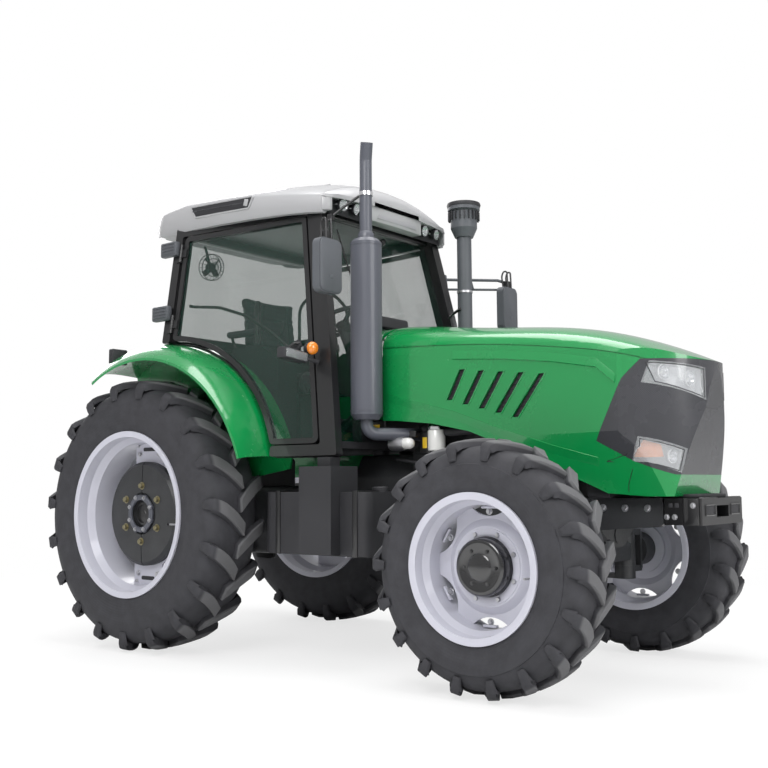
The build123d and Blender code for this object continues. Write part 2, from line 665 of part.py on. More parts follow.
def doors():
    """Both doors: a frame and its glass."""
    outline = door_outline()
    window = offset(outline, -DOOR_FRAME)
    panel = extrude(SIDE_PLANE * outline, amount=-DOOR_T)
    hole = extrude(SIDE_PLANE * window, amount=-DOOR_T * 3, both=True)
    rebate = extrude(SIDE_PLANE.offset(-12) * offset(outline, 12 - DOOR_FRAME),
                     amount=-GLASS_T - 2 * SEAT_GAP)
    frame = panel - hole - rebate + door_hinges()[0]
    glass = extrude(SIDE_PLANE.offset(-12 - SEAT_GAP) * offset(outline, 12 - DOOR_FRAME - SEAT_GAP),
                    amount=-GLASS_T)
    keep("door_left", frame)
    keep("door_right", mirrored(frame))
    keep("door_glass_left", glass)
    keep("door_glass_right", mirrored(glass))


def cab_shell():
    """Floor, pillars, rails, rear panel and windows."""
    sill_top = FLOOR_Z - 19
    back_x = REAR_PILLAR_X
    narrow = FENDER_IN_Y - SEAT_GAP
    front_x = front_pillar_x(FLOOR_Z) - FRONT_PILLAR + PILLAR - 10
    edge = [(1000, narrow), (1000, pillar_inner(1000, FLOOR_Z)), (front_x, pillar_inner(front_x, FLOOR_Z))]
    half = [(back_x, narrow)] + edge
    floor = plan_cut(rounded(half + [(x, -y) for x, y in reversed(half)], 8), FLOOR_Z - FLOOR_T, FLOOR_Z)
    rail_low = REAR_RAIL_Z - PILLAR / 2 - SEAT_GAP
    rise = side_cut(sharp([(back_x, FLOOR_Z - 1), (290, FLOOR_Z - 1), (230, 1480), (back_x + 34, 1480),
                           (back_x + 34, rail_low), (back_x, rail_low)]), -narrow + 8, narrow - 8)
    mounts = drum_z(55, HOUSING_TOP_Z + SEAT_GAP, FLOOR_Z - 5, 100, 160)
    mounts += drum_z(50, 1180 + SEAT_GAP, FLOOR_Z - 5, 1270, 130)
    keep("cab_floor", floor + rise + both(mounts))

    top = HEADER_Z + PILLAR / 2
    low = sill_top - PILLAR
    rail = REAR_RAIL_Z - PILLAR / 2
    ring = on_side([(front_pillar_x(low), low), (front_pillar_x(top), top), (back_x, top), (back_x, rail),
                    (back_x + PILLAR, rail), (back_x + PILLAR, top - PILLAR),
                    (front_pillar_x(top - PILLAR) - FRONT_PILLAR, top - PILLAR),
                    (front_pillar_x(sill_top) - FRONT_PILLAR, sill_top), (1000, sill_top), (1000, low)])
    frame = extrude(SIDE_PLANE.offset(-PILLAR_SET) * rounded(ring, 16), amount=-PILLAR)
    frame += door_hinges()[1]
    frame = both(frame)
    for x0, z0 in ((front_pillar_x(HEADER_Z) - FRONT_PILLAR, top - PILLAR), (back_x, top - PILLAR),
                   (back_x, rail)):
        reach = cab_y(x0, z0) - PILLAR
        outline = rounded([(x0 + 1, z0 + 1), (x0 + PILLAR - 1, z0 + 1), (x0 + PILLAR - 1, z0 + PILLAR - 1),
                           (x0 + 1, z0 + PILLAR - 1)], 14)
        frame += side_cut(outline, -reach, reach)
    keep("cab_frame", frame)


def hinge_frames():
    """Frames on the left door's hinge axis, z along the axis, at the two hinges."""
    lean = math.sqrt(1 + CAB_TAPER_Z**2)
    places = []
    for z in HINGE_HEIGHTS:
        x, y, _ = corner(HINGE_X, z, -HINGE_OUT)
        places.append(Plane(origin=(x, y, z), x_dir=(1, 0, 0), z_dir=(0, -CAB_TAPER_Z / lean, 1 / lean)))
    return places


def door_hinges():
    """The door's and the pillar's halves of the left door's hinges."""
    half = 30.0
    door_side = Part()
    pillar_side = Part()
    for place in hinge_frames():
        door_side += place * Cylinder(11, 2 * half)
        door_side += place * Pos(24, -8, 0) * Box(48, 12, 2 * half - 8)
        for end in (-1, 1):
            middle = end * (half + RUNNING_GAP + 14)
            pillar_side += place * Pos(0, 0, middle) * Cylinder(11, 28)
            pillar_side += place * Pos(-22, -9, middle) * Box(44, 14, 26)
    return door_side, pillar_side


def windows():
    """The windscreen with its notch round the cowl, and the rear window."""
    low_z = FLOOR_Z + 5 * SEAT_GAP
    top_z = HEADER_Z - PILLAR / 2 - SEAT_GAP
    slope = (front_pillar_x(top_z) - front_pillar_x(low_z)) / (top_z - low_z)
    plane = Plane(origin=(front_pillar_x(low_z) - FRONT_PILLAR + PILLAR / 2, 0, low_z), x_dir=(0, 1, 0),
                  z_dir=(1, 0, -slope))
    high = (top_z - low_z) * math.sqrt(1 + slope * slope)
    low_w = pillar_inner(front_pillar_x(low_z) - FRONT_PILLAR + 42, low_z)
    top_w = pillar_inner(front_pillar_x(top_z) - FRONT_PILLAR + 42, top_z)
    cowl = 445.0
    step = 578.0
    pane = rounded([(-low_w, 0), (-cowl, 0), (-cowl, step), (cowl, step), (cowl, 0), (low_w, 0),
                    (top_w, high), (-top_w, high)], 12)
    keep("windscreen", extrude(plane * pane, amount=-GLASS_T))

    rear_x = REAR_PILLAR_X + 10
    low = REAR_RAIL_Z + PILLAR / 2 - 1 + SEAT_GAP
    low_w = pillar_inner(rear_x, low)
    top_w = pillar_inner(rear_x, top_z)
    back = rounded([(-low_w, low), (low_w, low), (top_w, top_z), (-top_w, top_z)], 40)
    keep("rear_window", front_cut(back, rear_x - GLASS_T, rear_x))


def cab_roof():
    """The roof cap: an arched crown on a drooping front with pockets for the work lamps."""
    low = HEADER_Z + PILLAR / 2 + SEAT_GAP
    half = [(ROOF_REAR_X, 600), (ROOF_REAR_X + 60, ROOF_HALF_W), (620, ROOF_HALF_W),
            (ROOF_FRONT_X - 110, 645),
            (ROOF_FRONT_X - 24, 540), (ROOF_FRONT_X, 0)]
    plan = rounded(half + [(x, -y) for x, y in reversed(half[:-1])], 50)
    arch_line = [(ROOF_REAR_X - 5, 2738), (ROOF_REAR_X + 26, 2836), (-100, 2884), (300, 2920),
                 (700, ROOF_TOP_Z), (1040, 2898), (1240, 2826), (ROOF_FRONT_X + 5, 2762)]
    front_low = front_pillar_x(low) + 12
    side = make_face(Spline(arch_line) + Polyline(arch_line[-1], (ROOF_FRONT_X + 5, ROOF_LIP_Z),
                                                  (front_low, ROOF_LIP_Z), (front_low, low), (-200, low),
                                                  (ROOF_REAR_X - 5, 2700), arch_line[0]))
    crown = [(ROOF_HALF_W + 4, ROOF_EDGE_Z), (672, ROOF_EDGE_Z + 26), (560, 2874), (300, 2920),
             (0, ROOF_TOP_Z + 4)]
    crown += [(-y, z) for y, z in reversed(crown[:-1])]
    front = make_face(Spline(crown) + Polyline(crown[-1], (crown[-1][0], ROOF_LIP_Z - 20),
                                               (crown[0][0], ROOF_LIP_Z - 20), crown[0]))
    cap = plan_cut(plan, ROOF_LIP_Z, ROOF_TOP_Z + 50) & side_cut(side, -900, 900)
    cap &= front_cut(front, ROOF_REAR_X - 50, ROOF_FRONT_X + 50)
    pocket = plan_cut(sharp([(LAMP_WALL_X, 286), (ROOF_FRONT_X + 40, 286), (ROOF_FRONT_X + 40, 560),
                             (LAMP_WALL_X, 540)]), ROOF_LIP_Z - 20, 2728)
    vent = side_cut(rounded([(-150, 2748), (330, 2762), (330, 2806), (-130, 2810)], 14), ROOF_HALF_W - 26,
                    900)
    keep("cab_roof", cap - both(pocket) - both(vent))


def cab_inside():
    """Dashboard, steering wheel, seat and side console."""
    foot = FLOOR_Z + SEAT_GAP
    cowl = front_cut(rounded([(-430, foot), (430, foot), (430, 1780), (-430, 1780)], 40), 1290, 1325)
    dash = side_cut(rounded([(1100, 1560), (1291, 1500), (1291, 1790), (1130, 1800), (1040, 1740)], 30),
                    -330, 330)
    tilt = Plane(origin=WHEEL_CENTRE, z_dir=(-WHEEL_LEAN, 0, 1))
    column_top = tilt.origin - tilt.z_dir * (48 + RUNNING_GAP)
    column = rod(column_top - tilt.z_dir * 740, column_top, 42)
    shroud = side_cut(rounded([(1120, foot), (1291, foot), (1291, 1600), (1120, 1600)], 30), -120, 120)
    keep("dashboard", cowl + dash + shroud + column)

    hoop = tilt * Torus(190, 14)
    hub = tilt * Pos(0, 0, -28) * Cylinder(45, 40)
    spokes = Part()
    for turn in (90, 210, 330):
        spokes += tilt * Rot(0, 0, turn) * Pos(105, 0, -16) * Box(175, 26, 12)
    keep("steering_wheel", hoop + hub + spokes)

    base = side_cut(rounded([(310, foot), (660, foot), (640, SEAT_Z), (330, SEAT_Z)], 24), -190, 190)
    keep("seat_base", base)
    low = SEAT_Z + SEAT_GAP
    cushion = side_cut(rounded([(270, low), (790, low), (810, low + 60), (780, low + 125),
                                (270, low + 100)], 24),
                       -245, 245)
    keep("seat_cushion", cushion)
    front = 270 - SEAT_GAP
    back = side_cut(rounded([(front - 85, low), (front, low), (front, low + 125), (200, 2290), (115, 2290)],
                            26),
                    -235, 235)
    keep("seat_backrest", back)
    console = side_cut(rounded([(300, foot), (700, foot), (720, 1790), (560, 1890), (300, 1890)], 40), -470,
                       -290)
    keep("side_console", console)


# Fenders and what hangs on the sides

def on_arc(arc, radius, degrees):
    """A point in x and z on a fender arc's circle at another radius."""
    turn = math.radians(degrees)
    return (arc[0] + radius * math.cos(turn), arc[1] + radius * math.sin(turn))


def arch(y, arc, first, last, thickness):
    """One section of a fender arch in a plane across the tractor."""
    middle = (first + last) / 2
    outer_r = arc[2]
    inner_r = arc[2] - thickness
    outer = ThreePointArc(*[on_arc(arc, outer_r, turn) for turn in (first, middle, last)])
    inner = ThreePointArc(*[on_arc(arc, inner_r, turn) for turn in (last, middle, first)])
    ends = Line(on_arc(arc, outer_r, last), on_arc(arc, inner_r, last))
    ends += Line(on_arc(arc, inner_r, first), on_arc(arc, outer_r, first))
    return Pos(0, y, 0) * (Plane.XZ * make_face(outer + inner + ends))


FENDER_SECTIONS = [
    (FENDER_IN_Y, FENDER_ARC, 16.0, 122.0),
    (FENDER_IN_Y + 190, FENDER_ARC, 15.0, 121.0),
    (FENDER_OUT_Y - 110, (78.0, 900.0, 965.0), 16.0, 120.5),
    (FENDER_OUT_Y, (135.0, 853.0, 930.0), 19.0, 120.0),
]


def fender_sheet(rise, thickness):
    """The arched sheet of the left fender, raised and thickened at will."""
    sections = []
    for y, arc, first, last in FENDER_SECTIONS:
        sections.append(arch(y, (arc[0], arc[1], arc[2] + rise), first, last, thickness))
    return loft(sections)


def fenders():
    """The rear fenders, each an arched sheet with the cab's lower side wall."""
    r = FENDER_ARC[2] - FENDER_T / 2
    first, last = 16.0, 122.0
    start = on_arc(FENDER_ARC, r, first)
    end = on_arc(FENDER_ARC, r, last)
    wall = make_face(
        ThreePointArc(start, on_arc(FENDER_ARC, r, 70.0), end)
        + Polyline(end, (-300, 1060), (700, 1060), (960, 1100), start)
    )
    piece = fender_sheet(0, FENDER_T) + side_cut(wall, FENDER_IN_Y, FENDER_IN_Y + 14)
    keep("fenders", piece, mirrored(piece))


def side_boxes():
    """The fuel tanks, the box over the right tank and the steps on the left."""
    tank = plan_cut(rounded([(917, -790), (1690, -790), (1690, -TANK_IN_Y), (917, -TANK_IN_Y)], 60),
                    TANK_Z0, TANK_TOP_Z)
    side = -790 - SEAT_GAP
    top = TANK_TOP_Z + SEAT_GAP
    box = front_cut(sharp([(-868, TANK_Z0 + 6), (side, TANK_Z0 + 6), (side, top), (-640, top), (-640, 1107),
                           (-868, 1107)]), 1267, 1501)
    sill_low = FLOOR_Z - 29 - PILLAR
    box += front_cut(sharp([(-800, 1100), (-722, 1100), (-722, sill_low - SEAT_GAP),
                            (-800, sill_low - SEAT_GAP)]),
                     1345, 1440)
    left = plan_cut(rounded([(STEP_X1, 790), (1690, 790), (1690, TANK_IN_Y), (STEP_X1, TANK_IN_Y)], 40),
                    TANK_Z0,
                    TANK_TOP_Z)
    keep("side_tanks", tank, box, left)

    cheek = front_cut(rounded([(690, 1010), (690, 700), (790, 420), (905, 420), (905, 470), (800, 1010)],
                              18), 0, 8)
    flight = Part()
    for x in (STEP_X0, STEP_X1 - 8 - SEAT_GAP):
        flight += Pos(x, 0, 0) * cheek
    for z, y0, y1 in ((440, 770, 900), (700, 715, 850), (960, 700, 805)):
        flight += plan_cut(sharp([(STEP_X0, y0), (STEP_X1 - SEAT_GAP, y0), (STEP_X1 - SEAT_GAP, y1),
                                  (STEP_X0, y1)]),
                           z, z + 22)
    keep("steps", flight)


def stacks():
    """The silencer with its tail pipe, and the air intake."""
    x, y = 1500.0, -555.0
    body = turned_z([(0, 1370), (70, 1370), (91, 1400), (91, 2390), (70, 2412), (38, 2416), (0, 2416)], x,
                    y, 0)
    pipe = bent_tube([(x, y, 2410), (x, y, 2880), (x + 28, y - 24, 2975)], 36.5, 33.5, 60)
    elbow = bent_rod([(x, y, 1385), (x, y, 1290), (1660, -320, 1290), (1660, -190 - SEAT_GAP, 1290)], 36, 60)
    keep("exhaust_stack", body + pipe + elbow)
    x, y = 1474.0, 505.0
    tube = bent_rod([(x, y, 2640), (x, y, 1308), (1640, 300, 1308), (1640, 190 + SEAT_GAP, 1308)], 48, 70)
    bowl = turned_z([(0, 2620), (60, 2620), (87, 2680), (87, 2790), (106, 2800), (106, 2845), (60, 2856),
                     (0, 2856)],
                    x, y, 0)
    keep("air_intake", tube + bowl)


def mirrors():
    """The mirrors on their arms of two tubes with an upright between."""
    z = MIRROR_ARM_Z
    x = front_pillar_x(z) - PILLAR / 2
    foot = extrude(SIDE_PLANE.offset(SEAT_GAP - PILLAR_SET) * Pos(*on_side([(x, z - 30)])[0])
                   * RectangleRounded(46, 120, 10), amount=24)
    arm = foot + bent_rod([corner(x, z, -10), (1480, 905, z), (1530, 938, z - 20), (1535, 938, z - 90)], 10,
                          18)
    arm += rod(corner(x, z - 66, -10), (1522, 934, z - 66), 8)
    middle = [(a + b) / 2 for a, b in zip(corner(x, z, -10), (1480, 905, z))]
    arm += rod((middle[0], middle[1], z), (middle[0] + 18, middle[1] + 4, z - 66), 7)
    head = front_cut(rounded([(840, 2040), (1026, 2040), (1026, 2340), (840, 2340)], 40), 1510, 1560)
    keep("mirrors", arm + head, mirrored(arm + head))


def lamps():
    """Work lamps in the roof's pockets and tail lamps on the fenders."""
    pods = []
    back = LAMP_WALL_X + SEAT_GAP
    for y in (-480, -350, 350, 480):
        pods.append(turned_x([(0, 0), (0, 24), (24, 38), (46, 40), (46, 0)], back, y, 2672))
    keep("work_lamps", *pods)
    tail = front_cut(rounded([(890, 1700), (1010, 1700), (1010, 1885), (890, 1885)], 12), -270, -215)
    tail -= fender_sheet(SEAT_GAP, 200)
    tail = tail.solids().sort_by(Axis.Z)[-1]
    keep("tail_lamps", tail, mirrored(tail))


# Rear linkage

def lower_link():
    """The left lower link, in place, with its balls in flat eyes."""
    slope = math.radians(LOWER_SLOPE)
    front = Vector(LOWER_PIN_X, LOWER_PIN_Y, LOWER_PIN_Z)
    back = Vector(LOWER_PIN_X - LOWER_LINK_L * math.cos(slope), LOWER_BALL_Y,
                  LOWER_PIN_Z + LOWER_LINK_L * math.sin(slope))
    run = back - front
    bar = square_tube(front + run * 0.04, back - run * 0.04, 22, 62, (0, 1, 0))
    eyes = drum_y(36, front.Y - 20, front.Y + 20, front.X, front.Z, bore=15.05)
    eyes += drum_y(BALL_R, back.Y - 22, back.Y + 22, back.X, back.Z, bore=LOWER_EYE_R)
    bar -= drum_y(15.05, front.Y - 60, front.Y + 60, front.X, front.Z)
    bar -= drum_y(LOWER_EYE_R, back.Y - 60, back.Y + 60, back.X, back.Z)
    return bar + eyes


def linkage():
    """Lower links, lift arms, lift rods, top link, power take-off and drawbar."""
    link = lower_link()
    keep("lower_link_left", link)
    keep("lower_link_right", mirrored(link))

    flank = HOUSING_HALF_W + SEAT_GAP
    bracket = side_cut(rounded([(-150, 490), (20, 490), (20, 615), (-150, 615)], 30), flank, LOWER_PIN_Y - 25)
    bracket += drum_y(15, flank + 5, LOWER_PIN_Y + 32, LOWER_PIN_X, LOWER_PIN_Z)
    top = side_cut(rounded([(-300 - SEAT_GAP, 930), (-300 - SEAT_GAP, 1040), (TOP_PIN[0] - 30, 1015),
                            (TOP_PIN[0] - 30, 955)], 12), 26, 44)
    top += mirrored(top)
    top += drum_y(12.5, -44, 44, TOP_PIN[0], TOP_PIN[2])
    shaft = drum_y(ROCKSHAFT_R, -300, 300, ROCKSHAFT[0], ROCKSHAFT[2])
    keep("hitch_brackets", *both(bracket).solids(), *top.solids())

    y = 300.0
    arm_end = (ROCKSHAFT[0] - LIFT_ARM_L, ROCKSHAFT[2] + 20)
    arm = side_cut(rounded([(ROCKSHAFT[0] + 60, ROCKSHAFT[2] - 60), (ROCKSHAFT[0] + 60, ROCKSHAFT[2] + 60),
                            (arm_end[0] - 30, arm_end[1] + 28), (arm_end[0] - 30,
                                                                 arm_end[1] - 28)], 24), y - 12, y + 12)
    arms = shaft + both(arm)
    for side in (-1, 1):
        arms += drum_y(12, min(side * y, side * (y + 48)), max(side * y, side * (y + 48)), *arm_end)
    keep("lift_arms", arms)

    share = 0.5
    slope = math.radians(LOWER_SLOPE)
    foot = (LOWER_PIN_X - LOWER_LINK_L * share * math.cos(slope),
            LOWER_PIN_Z + LOWER_LINK_L * share * math.sin(slope))
    rod_y = y + 32
    rod_piece = rod((arm_end[0], rod_y, arm_end[1] - 20), (foot[0], rod_y, foot[1] + 60), 11)
    rod_piece += drum_y(26, rod_y - 14, rod_y + 14, *arm_end, bore=12.05)
    rod_piece -= drum_y(12.05, rod_y - 30, rod_y + 30, *arm_end)
    keep("lift_rod_left", rod_piece)
    keep("lift_rod_right", mirrored(rod_piece))

    tilt = math.radians(TOP_LINK_TILT)
    end = (TOP_PIN[0] - TOP_LINK_L * math.cos(tilt), TOP_PIN[2] + TOP_LINK_L * math.sin(tilt))
    bar = rod((TOP_PIN[0] - 20 * math.cos(tilt), 0, TOP_PIN[2] + 20 * math.sin(tilt)),
              (end[0] + 20 * math.cos(tilt), 0, end[1] - 20 * math.sin(tilt)), 20)
    bar += drum_y(30, -24, 24, TOP_PIN[0], TOP_PIN[2])
    bar += drum_y(30, -24, 24, *end)
    bar -= drum_y(12.55, -30, 30, TOP_PIN[0], TOP_PIN[2])
    bar -= drum_y(TOP_EYE_R, -30, 30, *end)
    keep("top_link", bar)

    inner = PTO_STUB_L + 115
    stub = turned_x([(0, 0), (0, PTO_R), (PTO_STUB_L, PTO_R), (PTO_STUB_L, PTO_INNER_R), (inner, PTO_INNER_R),
                     (inner, 0)], PTO_END_X, 0, PTO_Z)
    keep("pto_shaft", stub)

    drawbar = plan_cut(rounded([(-100, -40), (DRAWBAR_PIN_X - 50, -40), (DRAWBAR_PIN_X - 50, 40),
                                (-100, 40)], 20),
                       DRAWBAR_Z - DRAWBAR_T / 2, DRAWBAR_Z + DRAWBAR_T / 2)
    drawbar -= drum_z(DRAWBAR_PIN_R, DRAWBAR_Z - 40, DRAWBAR_Z + 40, DRAWBAR_PIN_X, 0)
    top_z = HOUSING_Z0 - SEAT_GAP
    hanger = front_cut(rounded([(-120, DRAWBAR_Z - 30), (120, DRAWBAR_Z - 30), (120, top_z), (-120, top_z)],
                               14),
                       -240, -200)
    front_hanger = front_cut(rounded([(-70, DRAWBAR_Z - 30), (70, DRAWBAR_Z - 30), (70, top_z),
                                      (-70, top_z)], 14),
                             -130, -90)
    keep("drawbar", drawbar + hanger + front_hanger)


def write():
    """Write each node as one STEP file, with the origin under the middle of the tractor."""
    os.makedirs("parts", exist_ok=True)
    shift = Location((-ORIGIN_X, 0, 0))
    for name, solids in NODES.items():
        pieces = []
        for shape in solids:
            pieces.extend(shape.solids())
        moved = [piece.moved(shift) for piece in pieces]
        export_step(Compound(children=moved) if len(moved) > 1 else moved[0], f"parts/{name}.step")


wheels()
front_axle()
steering_links()
chassis()
front_hitch()
hood()
doors()
cab_shell()
windows()
cab_roof()
cab_inside()
fenders()
side_boxes()
stacks()
mirrors()
lamps()
linkage()
write()
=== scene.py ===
import math

import bmesh
import bpy
from mathutils import Matrix, Quaternion, Vector


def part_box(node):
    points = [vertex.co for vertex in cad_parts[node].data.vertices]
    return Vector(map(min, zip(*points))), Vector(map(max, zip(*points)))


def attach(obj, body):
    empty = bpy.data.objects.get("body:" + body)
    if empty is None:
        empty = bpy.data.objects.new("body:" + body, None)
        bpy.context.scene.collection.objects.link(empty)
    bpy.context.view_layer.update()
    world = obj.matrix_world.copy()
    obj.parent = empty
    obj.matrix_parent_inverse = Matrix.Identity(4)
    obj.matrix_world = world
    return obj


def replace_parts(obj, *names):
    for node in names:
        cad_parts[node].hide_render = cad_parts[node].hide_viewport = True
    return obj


bl_info = {
    "name": "Farm tractor",
    "version": (1, 0, 0),
    "blender": (4, 5, 0),
    "location": "3D View > Sidebar > Tractor",
    "description": "Looks of a four-wheel-drive farm tractor, built around its fixed frame",
    "category": "Object",
}

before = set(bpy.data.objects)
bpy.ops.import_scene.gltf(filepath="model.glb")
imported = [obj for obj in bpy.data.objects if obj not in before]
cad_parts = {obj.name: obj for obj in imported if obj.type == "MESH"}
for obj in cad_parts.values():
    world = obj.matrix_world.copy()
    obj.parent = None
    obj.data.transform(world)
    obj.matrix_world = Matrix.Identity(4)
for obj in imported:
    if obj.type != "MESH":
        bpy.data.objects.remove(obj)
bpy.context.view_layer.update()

# The frame's own places, in metres
REAR_AXLE_X = sum(corner.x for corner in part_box("rear_rim_left")) / 2
FRONT_AXLE_X = sum(corner.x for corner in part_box("front_rim_left")) / 2
REAR_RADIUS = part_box("rear_tyre_left")[1].z / 2
FRONT_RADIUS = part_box("front_tyre_left")[1].z / 2


def at(x, y, z):
    """A place given in millimetres from the rear axle's middle on the ground."""
    return Vector((x / 1000 + REAR_AXLE_X, y / 1000, z / 1000))


def in_mm(place):
    """A place of the frame, in metres, as millimetres from the rear axle's middle on the ground."""
    return Vector(((place.x - REAR_AXLE_X) * 1000, place.y * 1000, place.z * 1000))


def box_mm(node):
    """A node's lowest and highest corners at rest, in those millimetres."""
    return [in_mm(corner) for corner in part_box(node)]


class TRACTOR_PG_sizes(bpy.types.PropertyGroup):
    """The sizes a user may change"""

    rear_bars: bpy.props.IntProperty(name="Rear bars", description="Bars on each half of a rear tyre", default=19)
    front_bars: bpy.props.IntProperty(name="Front bars", description="Bars on each half of a front tyre",
                                      default=18)
    rear_bar_height: bpy.props.FloatProperty(name="Rear bar height", description="Height of the rear tyres' bars",
                                             default=0.040, subtype="DISTANCE", unit="LENGTH")
    front_bar_height: bpy.props.FloatProperty(name="Front bar height",
                                              description="Height of the front tyres' bars",
                                              default=0.034, subtype="DISTANCE", unit="LENGTH")
    bump_depth: bpy.props.FloatProperty(name="Casting roughness", description="Depth of the castings' rough skin",
                                        default=0.0016, subtype="DISTANCE", unit="LENGTH")


def colour_of(name, words, default):
    """One colour that a user may change."""
    return bpy.props.FloatVectorProperty(name=name, description=words, default=default, size=3, subtype="COLOR",
                                         min=0.0, max=1.0)


class TRACTOR_PG_colours(bpy.types.PropertyGroup):
    """The colours a user may change"""

    body: colour_of("Body", "Hood, fenders and cowl", (0.002, 0.235, 0.055))
    roof: colour_of("Roof", "The cab's roof", (0.36, 0.36, 0.37))
    rims: colour_of("Rims", "Rims, discs and their lobes", (0.53, 0.53, 0.60))
    tyres: colour_of("Tyres", "Walls of the tyres", (0.028, 0.028, 0.032))
    seat: colour_of("Seat", "Woven seat cloth", (0.05, 0.052, 0.06))


def chosen(colour):
    """A colour's numbers: as given, or by the name of a colour a user may change."""
    return tuple(getattr(bpy.context.scene.tractor_colours, colour)) if isinstance(colour, str) else colour


# Shader maths

class Value:
    """A node's output socket on which plain arithmetic adds Math nodes."""

    def __init__(self, finish, socket):
        self.finish = finish
        self.socket = socket

    def math(self, operation, *others):
        return self.finish.node("ShaderNodeMath", {"operation": operation}, dict(enumerate((self, *others))))

    def __add__(self, other):
        return self.math("ADD", other)

    __radd__ = __add__

    def __mul__(self, other):
        return self.math("MULTIPLY", other)

    __rmul__ = __mul__

    def __sub__(self, other):
        return self.math("SUBTRACT", other)

    def __rsub__(self, other):
        return self.finish.node("ShaderNodeMath", {"operation": "SUBTRACT"}, {0: other, 1: self})

    def __truediv__(self, other):
        return self.math("DIVIDE", other)

    def __rtruediv__(self, other):
        return self.finish.node("ShaderNodeMath", {"operation": "DIVIDE"}, {0: other, 1: self})

    def __pow__(self, other):
        return self.math("POWER", other)

    def above(self, edge, soft):
        """0 below the edge, 1 above it, with a soft step between."""
        ramp = {"interpolation_type": "SMOOTHSTEP"}
        return self.finish.node("ShaderNodeMapRange", ramp, {"Value": self, "From Min": edge - soft,
                                                              "From Max": edge + soft})


class Finish:
    """One procedural material and the few ways to add nodes to it."""

    def __init__(self, name):
        self.material = bpy.data.materials.new(name)
        self.material.use_nodes = True
        self.tree = self.material.node_tree
        self.tree.nodes.clear()
        self.coords = None

    def node(self, kind, settings=None, sockets=None, out=0):
        """Add a node: its settings first, then the values or links of its sockets."""
        made = self.tree.nodes.new(kind)
        for key, setting in (settings or {}).items():
            if key == "stops":
                for index, (position, colour) in enumerate(setting):
                    stop = made.color_ramp.elements[index] if index < 2 else made.color_ramp.elements.new(position)
                    stop.position = position
                    stop.color = (*colour, 1)
            else:
                setattr(made, key, setting)
        for key, given in (sockets or {}).items():
            if isinstance(given, Value):
                self.tree.links.new(given.socket, made.inputs[key])
            elif isinstance(given, tuple) and len(given) == 3 and made.inputs[key].type == "RGBA":
                made.inputs[key].default_value = (*given, 1)
            else:
                made.inputs[key].default_value = given
        return Value(self, made.outputs[out])

    def place(self, centre=(0, 0, 0), scale=(1, 1, 1), turn=(0, 0, 0)):
        """Object coordinates about a centre."""
        if self.coords is None:
            self.coords = self.node("ShaderNodeTexCoord", out=3)
        moved = self.node("ShaderNodeMapping", {"vector_type": "POINT"},
                          {"Vector": self.coords, "Location": tuple(-c for c in centre)})
        return self.node("ShaderNodeMapping", {"vector_type": "POINT"},
                         {"Vector": moved, "Scale": scale, "Rotation": turn})

    def noise(self, scale, detail=3.0, vector=None, rough=0.5):
        return self.node("ShaderNodeTexNoise", {"normalize": True},
                         {"Vector": vector or self.place(), "Scale": scale, "Detail": detail, "Roughness": rough})

    def mix(self, factor, first, second):
        """A colour between two colours."""
        made = self.tree.nodes.new("ShaderNodeMix")
        made.data_type = "RGBA"
        for key, given in ((0, factor), (6, first), (7, second)):
            if isinstance(given, Value):
                self.tree.links.new(given.socket, made.inputs[key])
            else:
                made.inputs[key].default_value = (*given, 1) if isinstance(given, tuple) else given
        return Value(self, made.outputs[2])

    def bump(self, height, distance, strength=1.0, below=None):
        sockets = {"Height": height, "Distance": distance, "Strength": strength}
        if below is not None:
            sockets["Normal"] = below
        return self.node("ShaderNodeBump", None, sockets)

    def end(self, **sockets):
        """Close the material with one main shader."""
        names = {"colour": "Base Color", "rough": "Roughness", "metal": "Metallic", "coat": "Coat Weight",
                 "alpha": "Alpha", "normal": "Normal", "coat_rough": "Coat Roughness", "ior": "IOR",
                 "specular": "Specular IOR Level", "sheen": "Sheen Weight", "through": "Transmission Weight",
                 "glow": "Emission Color", "glow_strength": "Emission Strength"}
        shader = self.node("ShaderNodeBsdfPrincipled", None,
                           {names[key]: given for key, given in sockets.items()})
        self.node_out(shader)
        return self.material

    def node_out(self, shader):
        out = self.tree.nodes.new("ShaderNodeOutputMaterial")
        self.tree.links.new(shader.socket, out.inputs["Surface"])


MADE = {}


def finish(name):
    """A finished material by its name, made once."""
    if name not in MADE:
        MADE[name] = FINISHES[name](name)
    return MADE[name]


def painted(colour, rough=0.22, coat=1.0, wave=0.0006, dust=0.06):
    """Sprayed enamel: slight shade changes, fine orange peel and a trace of dust."""
    def make(name):
        f = Finish(name)
        base = chosen(colour)
        broad = f.noise(1.7, 2.0)
        fine = f.noise(160.0, 2.0)
        film = f.noise(5.0, 4.0, rough=0.6).above(0.62, 0.14)
        shade = f.mix(broad.above(0.5, 0.25) * 0.5, base, tuple(c * 0.86 for c in base))
        shade = f.mix(film * dust, shade, tuple(c * 0.8 + 0.05 for c in base))
        return f.end(colour=shade, rough=rough + broad * 0.08 + film * 0.05, coat=coat - film * dust,
                     coat_rough=0.05, normal=f.bump(fine, wave, 0.1))
    return make


def metal(colour, rough=0.32, metallic=1.0, grain=90.0, depth=0.0004):
    """Bare or plated metal with fine machining marks."""
    def make(name):
        f = Finish(name)
        lines = f.noise(grain, 3.0, f.place(scale=(1, 1, 7)))
        stain = f.noise(9.0, 4.0)
        shade = f.mix(stain.above(0.55, 0.2) * 0.4, colour, tuple(c * 0.7 for c in colour))
        return f.end(colour=shade, rough=rough + lines * 0.14, metal=metallic, normal=f.bump(lines, depth, 0.25))
    return make


